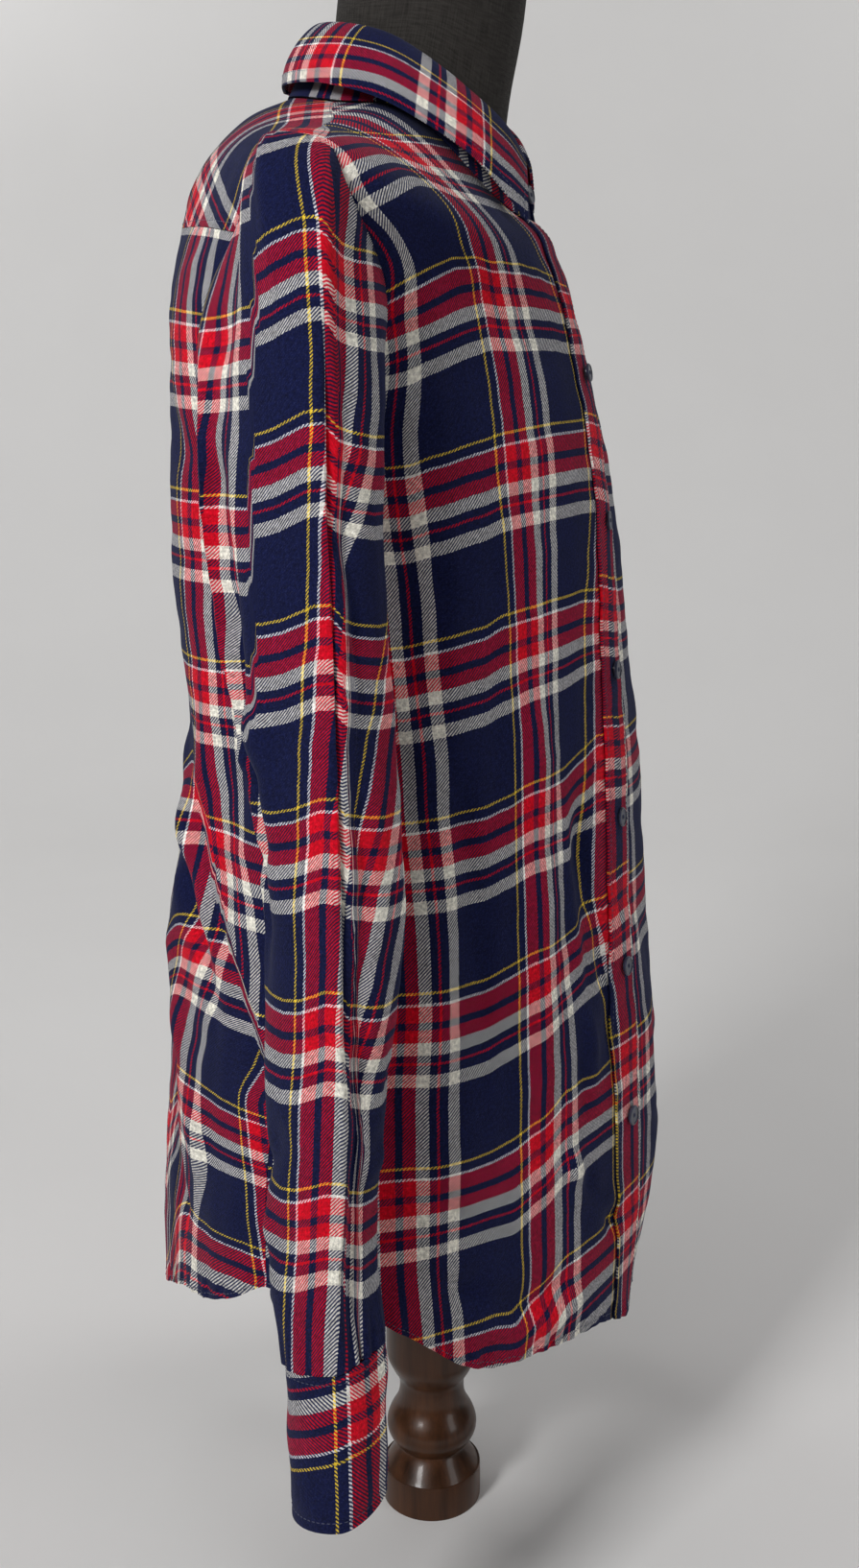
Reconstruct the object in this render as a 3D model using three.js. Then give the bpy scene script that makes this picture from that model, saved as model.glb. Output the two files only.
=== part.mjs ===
// Flannel shirt on a limbless dress form, built from the pieces that a maker cuts and sews.
// Millimetres, +Z up, front of the shirt towards -Y, the wearer's right towards -X.
// The origin is the middle of the round wooden foot, on the surface that it stands on.
import * as THREE from 'three';

// Cloth sizes
const wall = 1.2; // one layer of brushed flannel with its seam allowances
const doubleWall = 1.6; // collar and cuffs, two layers
const seamGap = 0.3; // between pieces that are sewn together
const facetRoom = 0.8; // kept free for the flats of curved pieces that lie on one another
const capLift = 1; // room between the top of the sleeve head and the narrow end of the yoke
const hemReach = 1.8; // rings over which the curve of the hem dies away
const wrap = 12; // how far each front edge passes the centre line
const bandWidth = 28; // button band down the right front
const cuffOverlap = 22;
const sleeveSlit = 105; // length of the placket above the cuff
const slitBandWidth = 20;
const buttonWidth = 11;
const buttonThick = 2.4;
const buttonSpacing = 84;
const lastButtonHeight = 232;

// Directions round the body are degrees from the centre front, positive towards the wearer's left.
// Each ring of the body crosses the centre front at height front, the sides at side and the centre
// back at back. half is its half width, fore and aft are its Y at the centre front and back, and
// the tapers say how fast its front and back fall away to the sides (1 is an oval).
const bodyRings = [
  { front: 116, side: 194, back: 118, half: 157, fore: -109, aft: 162, foreTaper: 1, aftTaper: 1 },
  { front: 185, side: 240, back: 182, half: 155, fore: -108, aft: 162, foreTaper: 1, aftTaper: 1 },
  { front: 270, side: 290, back: 268, half: 150, fore: -106, aft: 156, foreTaper: 1, aftTaper: 1 },
  { front: 360, side: 362, back: 358, half: 145, fore: -103, aft: 148, foreTaper: 1, aftTaper: 1 },
  { front: 450, side: 448, back: 446, half: 141, fore: -102, aft: 138, foreTaper: 1, aftTaper: 1 },
  { front: 535, side: 525, back: 535, half: 143, fore: -100, aft: 146, foreTaper: 1, aftTaper: 1 },
  { front: 605, side: 590, back: 612, half: 147, fore: -95, aft: 148, foreTaper: 1, aftTaper: 1 },
  { front: 655, side: 640, back: 668, half: 147, fore: -88, aft: 150, foreTaper: 1, aftTaper: 1 },
  { front: 695, side: 695, back: 722, half: 156, fore: -79, aft: 145, foreTaper: 1, aftTaper: 1.3 },
  { front: 716, side: 756, back: 764, half: 189, fore: -71, aft: 138, foreTaper: 1, aftTaper: 3.2 },
  { front: 729, side: 777, back: 797, half: 128, fore: -67, aft: 113, foreTaper: 1, aftTaper: 2.1 },
  { front: 738, side: 798, back: 812, half: 74, fore: -60, aft: 85, foreTaper: 1, aftTaper: 1.1 },
];

// Height of the curved hem at a direction
const hemLine = [
  { at: -180, height: 118 },
  { at: -165, height: 124 },
  { at: -150, height: 140 },
  { at: -135, height: 155 },
  { at: -120, height: 166 },
  { at: -108, height: 178 },
  { at: -98, height: 191 },
  { at: -86, height: 190 },
  { at: -75, height: 181 },
  { at: -65, height: 167 },
  { at: -55, height: 149 },
  { at: -45, height: 139 },
  { at: -30, height: 136 },
  { at: -15, height: 132 },
  { at: -6, height: 124 },
  { at: 4, height: 115 },
  { at: 16, height: 115 },
  { at: 28, height: 130 },
  { at: 40, height: 151 },
  { at: 55, height: 164 },
  { at: 70, height: 180 },
  { at: 84, height: 191 },
  { at: 98, height: 192 },
  { at: 110, height: 180 },
  { at: 128, height: 162 },
  { at: 150, height: 138 },
  { at: 165, height: 124 },
  { at: 180, height: 118 },
];

// Large folds of the body: depth is outward, at a direction, with a width in degrees. Each one
// rises between the rings rise and full, and dies away between the rings fade and end.
const bodyFolds = [
  { name: 'left front flare', at: 36, width: 21, depth: 34, rise: -0.6, full: 1.2, fade: 1.5, end: 7.5 },
  { name: 'left bust', at: 34, width: 20, depth: 4, rise: 4, full: 6, fade: 6, end: 8 },
  { name: 'right front hollow', at: -42, width: 16, depth: -11, rise: -3, full: -2, fade: 7, end: 9 },
  { name: 'right sleeve groove', at: -71, width: 6, depth: -8, rise: 0, full: 2, fade: 6, end: 8 },
  { name: 'left sleeve groove', at: 71, width: 6, depth: -8, rise: 0, full: 2, fade: 6, end: 8 },
  { name: 'right tail flat', at: -139, width: 21, depth: -16, rise: -3, full: -2, fade: 0.5, end: 4 },
  { name: 'left tail flat', at: 139, width: 21, depth: -15, rise: -3, full: -2, fade: 0.5, end: 4 },
  { name: 'right blade fold', at: -121, width: 8, depth: -9, rise: 2, full: 4, fade: 6, end: 8 },
  { name: 'left blade fold', at: 121, width: 8, depth: -9, rise: 2, full: 4, fade: 6, end: 8 },
];

// Seams of the right half on the body, as direction against ring. The left half mirrors them.
const sideSeam = -98;
const yokeSeamRing = 8.3;
const tipRing = 9.2;
const armholeFront = [
  { ring: 6, at: -98 },
  { ring: 6.2, at: -88 },
  { ring: 6.6, at: -77 },
  { ring: 7.2, at: -69.5 },
  { ring: 7.8, at: -66 },
  { ring: 8.4, at: -66.5 },
  { ring: 9, at: -71 },
  { ring: 9.2, at: -76 },
];
const armholeBack = [
  { ring: 6, at: -98 },
  { ring: 6.2, at: -108 },
  { ring: 6.6, at: -115 },
  { ring: 7.2, at: -118 },
  { ring: 7.8, at: -117 },
  { ring: 8.3, at: -118 },
  { ring: 8.8, at: -120.5 },
  { ring: 9, at: -118 },
  { ring: 9.13, at: -108 },
  { ring: 9.18, at: -92 },
  { ring: 9.2, at: -76 },
];
const shoulderSeam = [
  { ring: 9.2, at: -76 },
  { ring: 9.6, at: -80 },
  { ring: 10, at: -90 },
  { ring: 10.5, at: -107 },
  { ring: 11, at: -113 },
];

// Right sleeve, level by level: X of its creased outer edge and of its inner side, Y of the
// crease, of its front and of its back, how sharp the crease is (1 is round), and how much the
// level drops towards the back.
const sleeveLevels = [
  { height: 585, outer: -212, inner: -153, crease: -6, front: -23, back: 71, sharp: 1.4, tilt: 0 },
  { height: 530, outer: -212, inner: -152, crease: -9, front: -25, back: 62, sharp: 1.4, tilt: 0 },
  { height: 470, outer: -212, inner: -150, crease: -11, front: -29, back: 51, sharp: 1.4, tilt: 0 },
  { height: 400, outer: -212, inner: -151, crease: -13, front: -33, back: 39, sharp: 1.35, tilt: 0 },
  { height: 335, outer: -213, inner: -155, crease: -14, front: -29, back: 34, sharp: 1.3, tilt: 0 },
  { height: 270, outer: -213, inner: -160, crease: -14, front: -22, back: 32, sharp: 1.2, tilt: 0 },
  { height: 225, outer: -214, inner: -163, crease: -13, front: -22, back: 29, sharp: 1.15, tilt: 0.1 },
  { height: 187, outer: -214, inner: -165, crease: -12, front: -26, back: 23, sharp: 1.1, tilt: 0.25 },
];

// Large folds of the sleeve, in degrees round it: they start at top and drift to bottom.
const sleeveFolds = [
  { name: 'valley before the crease', top: 33, bottom: 36, width: 10, depth: -5, rise: 0.4, end: 8.5 },
  { name: 'fold behind the crease', top: 303, bottom: 283, width: 10, depth: -10, rise: 0.3, end: 5 },
];
const cuffLevels = [
  { height: 186.4, outer: -213, inner: -166, crease: -12, front: -26, back: 21, sharp: 1.1, tilt: 0.25 },
  { height: 152, outer: -213, inner: -167, crease: -13, front: -27, back: 19, sharp: 1.1, tilt: 0.27 },
  { height: 114, outer: -213, inner: -167, crease: -14, front: -27, back: 17, sharp: 1.1, tilt: 0.28 },
];
const sleeveMiddleX = -180;
const sleeveMiddleY = 8;
const cuffOpening = 196; // degrees round the sleeve from the crease: front 90, body 180, back 270

// Right half of the collar from the centre back to the front: direction at the neck seam, the
// fold line along the top of the stand, and the outer edge of the leaf.
const collarRows = [
  { at: -180, foldX: 0, foldY: 66, foldZ: 855, edgeX: 0, edgeY: 91, edgeZ: 822 },
  { at: -150, foldX: -30, foldY: 57, foldZ: 852, edgeX: -42, edgeY: 76, edgeZ: 818 },
  { at: -120, foldX: -53, foldY: 33, foldZ: 845, edgeX: -76, edgeY: 44, edgeZ: 811 },
  { at: -92, foldX: -61.5, foldY: 8, foldZ: 836, edgeX: -90, edgeY: 8, edgeZ: 799 },
  { at: -66, foldX: -56, foldY: -14, foldZ: 822, edgeX: -83, edgeY: -19, edgeZ: 784 },
  { at: -42, foldX: -42, foldY: -32, foldZ: 807, edgeX: -69, edgeY: -41, edgeZ: 768 },
  { at: -20, foldX: -23, foldY: -47, foldZ: 792, edgeX: -56, edgeY: -56, edgeZ: 750 },
  { at: -4, foldX: -3, foldY: -54, foldZ: 776, edgeX: -46, edgeY: -66, edgeZ: 735 },
];

const leftTipRise = 16;
const leftTipBack = 15;
const leftFoldBack = 4;

// The dress form in the same columns as the body: level rings of the torso, the ends of the
// shoulders, and the neck, which leans forward. Between the last two it follows the shirt's own
// rings, a little inside them.
const torsoRings = [
  { front: 238, side: 238, back: 238, half: 112, fore: -76, aft: 76, foreTaper: 1, aftTaper: 1 },
  { front: 244, side: 244, back: 244, half: 121, fore: -85, aft: 85, foreTaper: 1, aftTaper: 1 },
  { front: 300, side: 300, back: 300, half: 125, fore: -90, aft: 94, foreTaper: 1, aftTaper: 1 },
  { front: 370, side: 370, back: 370, half: 116, fore: -87, aft: 86, foreTaper: 1, aftTaper: 1 },
  { front: 440, side: 440, back: 440, half: 108, fore: -85, aft: 83, foreTaper: 1, aftTaper: 1 },
  { front: 520, side: 520, back: 520, half: 116, fore: -88, aft: 96, foreTaper: 1, aftTaper: 1 },
  { front: 590, side: 590, back: 590, half: 126, fore: -85, aft: 110, foreTaper: 1, aftTaper: 1 },
  { front: 640, side: 636, back: 645, half: 130, fore: -77, aft: 118, foreTaper: 1, aftTaper: 1.05 },
  { front: 685, side: 686, back: 706, half: 142, fore: -68, aft: 124, foreTaper: 1, aftTaper: 1.3 },
  { front: 706, side: 724, back: 738, half: 158, fore: -62, aft: 126, foreTaper: 1, aftTaper: 2 },
  { front: 717, side: 748, back: 764, half: 162, fore: -60, aft: 122, foreTaper: 1, aftTaper: 2.4 },
  { front: 722, side: 758, back: 777, half: 154, fore: -60, aft: 118, foreTaper: 1, aftTaper: 2.4 },
];
const seatRings = [9.75, 10.1, 10.45, 10.8];
const seatInset = 1.8;
const frontSeatInset = 4.5; // the left front lies deeper, under the right one
const neckRings = [
  { front: 744, side: 802, back: 816, half: 61, fore: -48, aft: 69, foreTaper: 1, aftTaper: 1 },
  { front: 764, side: 812, back: 828, half: 53, fore: -41, aft: 62, foreTaper: 1, aftTaper: 1 },
  { front: 810, side: 835, back: 846, half: 52, fore: -45, aft: 58, foreTaper: 1, aftTaper: 1 },
  { front: 860, side: 868, back: 872, half: 54.5, fore: -54, aft: 55, foreTaper: 1, aftTaper: 1 },
  { front: 918, side: 918, back: 918, half: 54.5, fore: -59, aft: 50, foreTaper: 1, aftTaper: 1 },
  { front: 926, side: 927, back: 926, half: 50, fore: -54.5, aft: 45.5, foreTaper: 1, aftTaper: 1 },
  { front: 930, side: 932, back: 930, half: 36, fore: -40, aft: 32, foreTaper: 1, aftTaper: 1 },
];

// Turned wooden post, radius against height from the foot up
const postProfile = [
  { radius: 27.6, height: 0 },
  { radius: 28.2, height: 1 },
  { radius: 28.2, height: 16.6 },
  { radius: 27.2, height: 17.6 },
  { radius: 24.2, height: 22 },
  { radius: 20.2, height: 28 },
  { radius: 20, height: 30 },
  { radius: 22.5, height: 32.5 },
  { radius: 25.3, height: 37 },
  { radius: 26, height: 42 },
  { radius: 24.2, height: 47.5 },
  { radius: 20.4, height: 54 },
  { radius: 18.8, height: 60 },
  { radius: 19.2, height: 67 },
  { radius: 22.6, height: 73 },
  { radius: 26, height: 80 },
  { radius: 26.6, height: 88 },
  { radius: 26.6, height: 237.7 },
];

// How a sleeve head leaves the armhole: its way out at the underarm and at the shoulder tip, and
// how steeply it falls into the sleeve there.
const headReachLow = 3.5;
const headReachHigh = 34;
const headFallLow = 0.35;
const headFallHigh = 0.55;
const levelMiddle = 0.55; // where a sleeve level is deepest, from its crease to its inner side
const slitRadius = 33; // half a sleeve level's depth where the narrow band lies
const cuffRadius = 30;
const overlapStart = 34; // degrees before the cuff's opening where its front end starts to rise
const overlapFull = 6;

// How the collar leaf rolls over the stand and falls to its edge
const rollBack = 5.5;
const rollFront = 4.5;
const rollRise = 2.5;
const edgeFlare = 1.5;
const edgeRise = 17;

const buttonRim = 0.9; // rounded edge of a button
const buttonDish = 0.6; // depth of its hollow middle

// Grid sizes of the meshes
const frontColumns = 14;
const backColumns = 26;
const yokeColumns = 24;
const sleeveColumns = 27;
const capRows = 6;
const formColumns = 26;
const postColumns = 24;

const radians = Math.PI / 180;
const normalStep = 2.5; // degrees to each side over which the body's normals are taken
const up = new THREE.Vector3(0, 0, 1);

function smooth(low, high, value) {
  if (low === high) return value < low ? 0 : 1;
  return THREE.MathUtils.smoothstep(value, low, high);
}

// A column of a table at a fractional row, as a smooth curve through the rows.
function alongTable(table, column, row) {
  const last = table.length - 1;
  const place = THREE.MathUtils.clamp(row, 0, last);
  const index = Math.min(Math.floor(place), last - 1);
  const t = place - index;
  const value = (i) => table[THREE.MathUtils.clamp(i, 0, last)][column];
  const before = index === 0 ? 2 * value(0) - value(1) : value(index - 1);
  const after = index === last - 1 ? 2 * value(last) - value(last - 1) : value(index + 2);
  const start = (value(index + 1) - before) / 2;
  const end = (after - value(index)) / 2;
  const rise = value(index + 1) - value(index);
  return value(index) + t * (start + t * (3 * rise - 2 * start - end + t * (start + end - 2 * rise)));
}

// A column of a table at a value of its key column, in straight steps.
function lookUp(table, key, column, value) {
  let index = 0;
  while (index < table.length - 2 && value > table[index + 1][key]) index += 1;
  const span = table[index + 1][key] - table[index][key];
  const t = THREE.MathUtils.clamp((value - table[index][key]) / span, 0, 1);
  return THREE.MathUtils.lerp(table[index][column], table[index + 1][column], t);
}

function ovalPoint(row, direction) {
  const sine = Math.sin(direction * radians);
  const cosine = Math.cos(direction * radians);
  const middle = (row.fore + row.aft) / 2;
  const depth = (row.aft - row.fore) / 2;
  const level = cosine > 0 ? row.front : row.back;
  const taper = cosine > 0 ? row.foreTaper : row.aftTaper;
  const reach = Math.sign(cosine) * Math.abs(cosine) ** taper;
  const z = THREE.MathUtils.lerp(level, row.side, Math.abs(sine) ** 3);
  return new THREE.Vector3(row.half * sine, middle - depth * reach, z);
}

function foldDepth(direction, ring) {
  let depth = 0;
  for (const fold of bodyFolds) {
    const away = (direction - fold.at) / fold.width;
    const along = smooth(fold.rise, fold.full, ring) * (1 - smooth(fold.fade, fold.end, ring));
    depth += fold.depth * along * Math.exp(-0.5 * away * away);
  }
  return depth;
}

function bodyRow(ring) {
  const row = {};
  for (const column of Object.keys(bodyRings[0])) row[column] = alongTable(bodyRings, column, ring);
  return row;
}

// Middle of the body cloth at a direction and ring. Directions run from -180 to 180.
function bodyMiddle(direction, ring, folded = true) {
  const point = ovalPoint(bodyRow(ring), direction);
  const hem = lookUp(hemLine, 'at', 'height', direction) - ovalPoint(bodyRings[0], direction).z;
  point.z += hem * (1 - smooth(0, hemReach, ring));
  if (folded) {
    const depth = foldDepth(direction, ring);
    const edge = 1 - smooth(168, 180, Math.abs(direction));
    point.x += depth * edge * Math.sin(direction * radians);
    point.y -= depth * edge * Math.cos(direction * radians);
  }
  return point;
}

function bodyNormal(direction, ring, folded = true) {
  const last = bodyRings.length - 1;
  const low = Math.max(ring - 0.04, 0);
  const high = Math.min(ring + 0.04, last);
  const across = bodyMiddle(direction + normalStep, ring, folded);
  across.sub(bodyMiddle(direction - normalStep, ring, folded));
  const upward = bodyMiddle(direction, high, folded).sub(bodyMiddle(direction, low, folded));
  return across.cross(upward).normalize();
}

function bodyPoint(direction, ring, out = 0, folded = true) {
  return bodyMiddle(direction, ring, folded).addScaledVector(bodyNormal(direction, ring, folded), out);
}

// Direction on a ring that lies a distance to the side of the centre line.
function besideCentre(distance, ring) {
  return Math.asin(distance / bodyRow(ring).half) / radians;
}

// Turns rows of points into one closed solid. Each row holds the points of both faces: outer[i]
// and inner[i]. loop closes each row on itself.
function wallSolid(outer, inner, loop) {
  const rows = outer.length;
  const columns = outer[0].length;
  const positions = [...outer.flat(), ...inner.flat()].flatMap((point) => point.toArray());
  const out = (row, column) => row * columns + (column % columns);
  const inn = (row, column) => rows * columns + row * columns + (column % columns);
  const index = [];
  const quad = (a, b, c, d) => index.push(a, b, c, a, c, d);
  const steps = loop ? columns : columns - 1;
  for (let row = 0; row < rows - 1; row += 1) {
    for (let column = 0; column < steps; column += 1) {
      const next = column + 1;
      quad(out(row, column), out(row, next), out(row + 1, next), out(row + 1, column));
      quad(inn(row, column), inn(row + 1, column), inn(row + 1, next), inn(row, next));
    }
    if (!loop) {
      quad(out(row, 0), out(row + 1, 0), inn(row + 1, 0), inn(row, 0));
      quad(out(row, steps), inn(row, steps), inn(row + 1, steps), out(row + 1, steps));
    }
  }
  for (let column = 0; column < steps; column += 1) {
    const next = column + 1;
    quad(out(0, column), inn(0, column), inn(0, next), out(0, next));
    quad(out(rows - 1, column), out(rows - 1, next), inn(rows - 1, next), inn(rows - 1, column));
  }
  return solidFrom(positions, index);
}

// Closed solid from a stack of closed rings with a flat fan at each end.
function ringSolid(rings) {
  const columns = rings[0].length;
  const points = rings.flat();
  const index = [];
  for (let row = 0; row < rings.length - 1; row += 1) {
    for (let column = 0; column < columns; column += 1) {
      const next = (column + 1) % columns;
      const low = row * columns;
      const high = low + columns;
      index.push(low + column, low + next, high + next, low + column, high + next, high + column);
    }
  }
  for (const row of [0, rings.length - 1]) {
    const centre = new THREE.Vector3();
    for (const point of rings[row]) centre.addScaledVector(point, 1 / columns);
    const hub = points.push(centre) - 1;
    for (let column = 0; column < columns; column += 1) {
      const next = (column + 1) % columns;
      const first = row * columns;
      if (row === 0) index.push(first + next, first + column, hub);
      else index.push(first + column, first + next, hub);
    }
  }
  return solidFrom(points.flatMap((point) => point.toArray()), index);
}

// Indexed geometry whose faces point outward.
function solidFrom(positions, index) {
  let volume = 0;
  const corner = (i) => new THREE.Vector3().fromArray(positions, index[i] * 3);
  for (let i = 0; i < index.length; i += 3) {
    volume += corner(i).dot(corner(i + 1).cross(corner(i + 2)));
  }
  if (volume < 0) {
    for (let i = 0; i < index.length; i += 3) [index[i], index[i + 1]] = [index[i + 1], index[i]];
  }
  const geometry = new THREE.BufferGeometry();
  geometry.setAttribute('position', new THREE.Float32BufferAttribute(positions, 3));
  geometry.setIndex(index);
  return geometry;
}

// A wall through a grid of points: place(column, row) gives its middle, and the wall's thickness
// is laid half to each side along the grid's own normals.
function wallThrough(place, columnList, rowList, thickness, loop = false) {
  const grid = rowList.map((row) => columnList.map((column) => place(column, row)));
  const lastRow = grid.length - 1;
  const count = columnList.length;
  const outer = [];
  const inner = [];
  for (let row = 0; row <= lastRow; row += 1) {
    outer.push([]);
    inner.push([]);
    for (let column = 0; column < count; column += 1) {
      const left = loop ? (column + count - 1) % count : Math.max(column - 1, 0);
      const right = loop ? (column + 1) % count : Math.min(column + 1, count - 1);
      const across = grid[row][right].clone().sub(grid[row][left]);
      const upward = grid[Math.min(row + 1, lastRow)][column].clone();
      upward.sub(grid[Math.max(row - 1, 0)][column]);
      const normal = across.cross(upward).normalize();
      outer[row].push(grid[row][column].clone().addScaledVector(normal, thickness / 2));
      inner[row].push(grid[row][column].clone().addScaledVector(normal, -thickness / 2));
    }
  }
  return wallSolid(outer, inner, loop);
}

// Body panel between two edges that are given as directions for each ring.
function bodyPanel(columns, rings, startAt, endAt, outAt, thickness = wall) {
  const outer = [];
  const inner = [];
  const evenStart = startAt(rings[0]);
  const evenEnd = endAt(rings[0]);
  for (const ring of rings) {
    const start = startAt(ring);
    const end = endAt(ring);
    const outerRow = [];
    const innerRow = [];
    for (let column = 0; column <= columns; column += 1) {
      const along = column / columns;
      const even = THREE.MathUtils.lerp(evenStart, evenEnd, along);
      const shift = (start - evenStart) * (1 - along) ** 2 + (end - evenEnd) * along ** 2;
      const direction = even + shift;
      const wrapped = direction < -180 ? direction + 360 : direction;
      const out = outAt(wrapped, ring);
      outerRow.push(bodyPoint(wrapped, ring, out + thickness / 2));
      innerRow.push(bodyPoint(wrapped, ring, out - thickness / 2));
    }
    outer.push(outerRow);
    inner.push(innerRow);
  }
  return wallSolid(outer, inner, false);
}

function evenSteps(low, high, count) {
  return Array.from({ length: count + 1 }, (_, i) => THREE.MathUtils.lerp(low, high, i / count));
}

// Angle that a small distance along the cloth spans at the side of a ring.
const gapAngle = (seamGap / 2 / 140) / radians;
const gapRing = seamGap / 2 / 42;

const neckRing = bodyRings.length - 1;
const frontRings = [
  ...evenSteps(0, 6, 12), 6.3, 6.7, 7.2, 7.7, 8.1, 8.5, 8.9, tipRing, 9.6, 10, 10.5, neckRing,
];

function frontSide(ring) {
  if (ring <= 6) return sideSeam;
  if (ring <= tipRing) return lookUp(armholeFront, 'ring', 'at', ring);
  return lookUp(shoulderSeam, 'ring', 'at', ring);
}

function rightFront() {
  const edge = (ring) => besideCentre(wrap, ring);
  const side = (ring) => frontSide(ring) + gapAngle;
  return bodyPanel(frontColumns, frontRings, side, edge, () => 0);
}

// The left front passes under the right one at the centre.
function leftFrontOut(direction, ring) {
  const distance = bodyRow(ring).half * Math.sin(direction * radians);
  return -(wall + seamGap + facetRoom / 2) * (1 - smooth(wrap + 1, wrap + 34, distance));
}

function leftFront() {
  const edge = (ring) => besideCentre(-wrap, ring);
  const side = (ring) => -frontSide(ring) - gapAngle;
  return bodyPanel(frontColumns, frontRings, edge, side, leftFrontOut);
}

// Button band, laid on the edge of the right front.
function buttonBand() {
  const lift = wall + seamGap + facetRoom / 2;
  const edge = (ring) => besideCentre(wrap - 0.4, ring);
  const start = (ring) => besideCentre(wrap - bandWidth, ring);
  const rings = frontRings.filter((ring) => ring <= 6 || ring >= 6.6);
  return bodyPanel(3, rings, start, edge, () => lift);
}

function back() {
  const rings = [...evenSteps(0, 6, 12), 6.3, 6.7, 7.2, 7.8, yokeSeamRing - gapRing];
  const half = (ring) => (ring <= 6 ? sideSeam : lookUp(armholeBack, 'ring', 'at', ring)) - gapAngle;
  return bodyPanel(backColumns, rings, (ring) => half(ring), (ring) => -360 - half(ring), () => 0);
}

function yoke() {
  const rings = [yokeSeamRing + gapRing, 8.6, 8.85, 9.03, 9.13, 9.18, tipRing, 9.6, 10, 10.5, neckRing];
  const half = (ring) => {
    if (ring <= tipRing) return lookUp(armholeBack, 'ring', 'at', ring);
    return lookUp(shoulderSeam, 'ring', 'at', ring) - gapAngle;
  };
  return bodyPanel(yokeColumns, rings, half, (ring) => -360 - half(ring), () => 0);
}

// Point of the right armhole for a turn round the sleeve: 0 at the shoulder tip, 90 at the front,
// 180 at the underarm and 270 at the back. It lies on top of the body panels.
function armholeLine(table, side) {
  const fine = evenSteps(table.length - 1, 0, (table.length - 1) * 8).map((row) => {
    const low = table[Math.floor(row)];
    const high = table[Math.ceil(row)];
    const ring = THREE.MathUtils.lerp(low.ring, high.ring, row % 1);
    const direction = THREE.MathUtils.lerp(low.at, high.at, row % 1);
    const out = wall / 2 + seamGap + facetRoom;
    const point = bodyPoint(side === 'left' ? -direction : direction, ring, out);
    point.z += capLift * smooth(9, 9.15, ring);
    return mirrored(point, side);
  });
  return new THREE.CatmullRomCurve3(fine);
}
const armholeLines = {
  right: [armholeLine(armholeFront, 'right'), armholeLine(armholeBack, 'right')],
  left: [armholeLine(armholeFront, 'left'), armholeLine(armholeBack, 'left')],
};

function armholePoint(turn, side) {
  const [frontLine, backLine] = armholeLines[side];
  if (turn <= 180) return frontLine.getPointAt(turn / 180);
  return backLine.getPointAt((360 - turn) / 180);
}

// Point of a sleeve or cuff level: quarter ovals between the crease, front, inner side and back.
function levelPoint(row, turn) {
  const quarter = Math.floor((turn % 360) / 90);
  const within = ((turn % 360) - quarter * 90) * radians;
  const innerY = (row.front + row.back) / 2;
  const middleX = THREE.MathUtils.lerp(row.outer, row.inner, levelMiddle);
  const sides = [
    [row.outer, row.crease],
    [middleX, row.front],
    [row.inner, innerY],
    [middleX, row.back],
    [row.outer, row.crease],
  ];
  const [fromX, fromY] = sides[quarter];
  const [toX, toY] = sides[quarter + 1];
  const outerHalf = quarter === 0 || quarter === 3;
  const power = outerHalf ? row.sharp : 1;
  const nearStart = Math.cos(within) ** power;
  const nearEnd = Math.sin(within) ** power;
  const cornerX = middleX;
  const cornerY = outerHalf ? row.crease : innerY;
  const x = cornerX + (fromX - cornerX) * nearStart + (toX - cornerX) * nearEnd;
  const y = cornerY + (fromY - cornerY) * nearStart + (toY - cornerY) * nearEnd;
  return new THREE.Vector3(x, y, row.height - row.tilt * y);
}

// Moves a point of the sleeve in towards the middle of its level where a fold runs.
function foldedSleeve(point, turn, stage) {
  let depth = 0;
  for (const fold of sleeveFolds) {
    const at = THREE.MathUtils.lerp(fold.top, fold.bottom, stage / fold.end);
    const along = smooth(0, fold.rise, stage) * (1 - smooth(fold.end - 1.5, fold.end, stage));
    depth += fold.depth * along * Math.exp(-0.5 * ((turn - at) / fold.width) ** 2);
  }
  const outward = new THREE.Vector3(point.x - sleeveMiddleX, point.y - sleeveMiddleY, 0).normalize();
  return point.addScaledVector(outward, depth);
}

function levelRow(levels, place) {
  const row = {};
  for (const column of Object.keys(levels[0])) row[column] = alongTable(levels, column, place);
  return row;
}

// Middle of the right sleeve: stage 0 to 1 is its head, from the armhole to the first level, and
// each further whole number is one more level.
function sleevePoint(turn, stage, side) {
  if (stage >= 1) {
    return foldedSleeve(levelPoint(levelRow(sleeveLevels, stage - 1), turn), turn, stage);
  }
  const start = armholePoint(turn, side);
  const end = levelPoint(sleeveLevels[0], turn);
  const drop = start.z - end.z;
  const high = 0.5 + 0.5 * Math.cos(turn * radians);
  const leaving = new THREE.Vector3(-1, 0.25 * -Math.sin(turn * radians), -0.35 * high - 0.1).normalize();
  const reach = THREE.MathUtils.lerp(headReachLow, headReachHigh, high);
  const first = start.clone().addScaledVector(leaving, reach);
  const fall = drop * THREE.MathUtils.lerp(headFallLow, headFallHigh, high);
  const second = end.clone().addScaledVector(up, fall);
  const point = new THREE.CubicBezierCurve3(start, first, second, end).getPoint(stage);
  return foldedSleeve(point, turn, stage);
}

const sleeveStages = [
  ...evenSteps(0, 1, capRows),
  ...evenSteps(1.5, sleeveLevels.length, 11),
];
// The sleeve head turns sharply just behind the shoulder tip, so columns are closer there.
const sleeveTurns = [...evenSteps(0, 332, sleeveColumns - 3), 339.5, 346, 353];

function sleeve(side) {
  const place = (turn, stage) => mirrored(sleevePoint(turn, stage, side), side);
  return wallThrough(place, ordered(sleeveTurns, side), sleeveStages, wall, true);
}

function mirrored(point, side) {
  if (side === 'left') point.x = -point.x;
  return point;
}

// Mirrored pieces run their columns the other way, so that outer and inner faces stay the same.
function ordered(list, side) {
  return side === 'left' ? [...list].reverse() : list;
}

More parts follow.
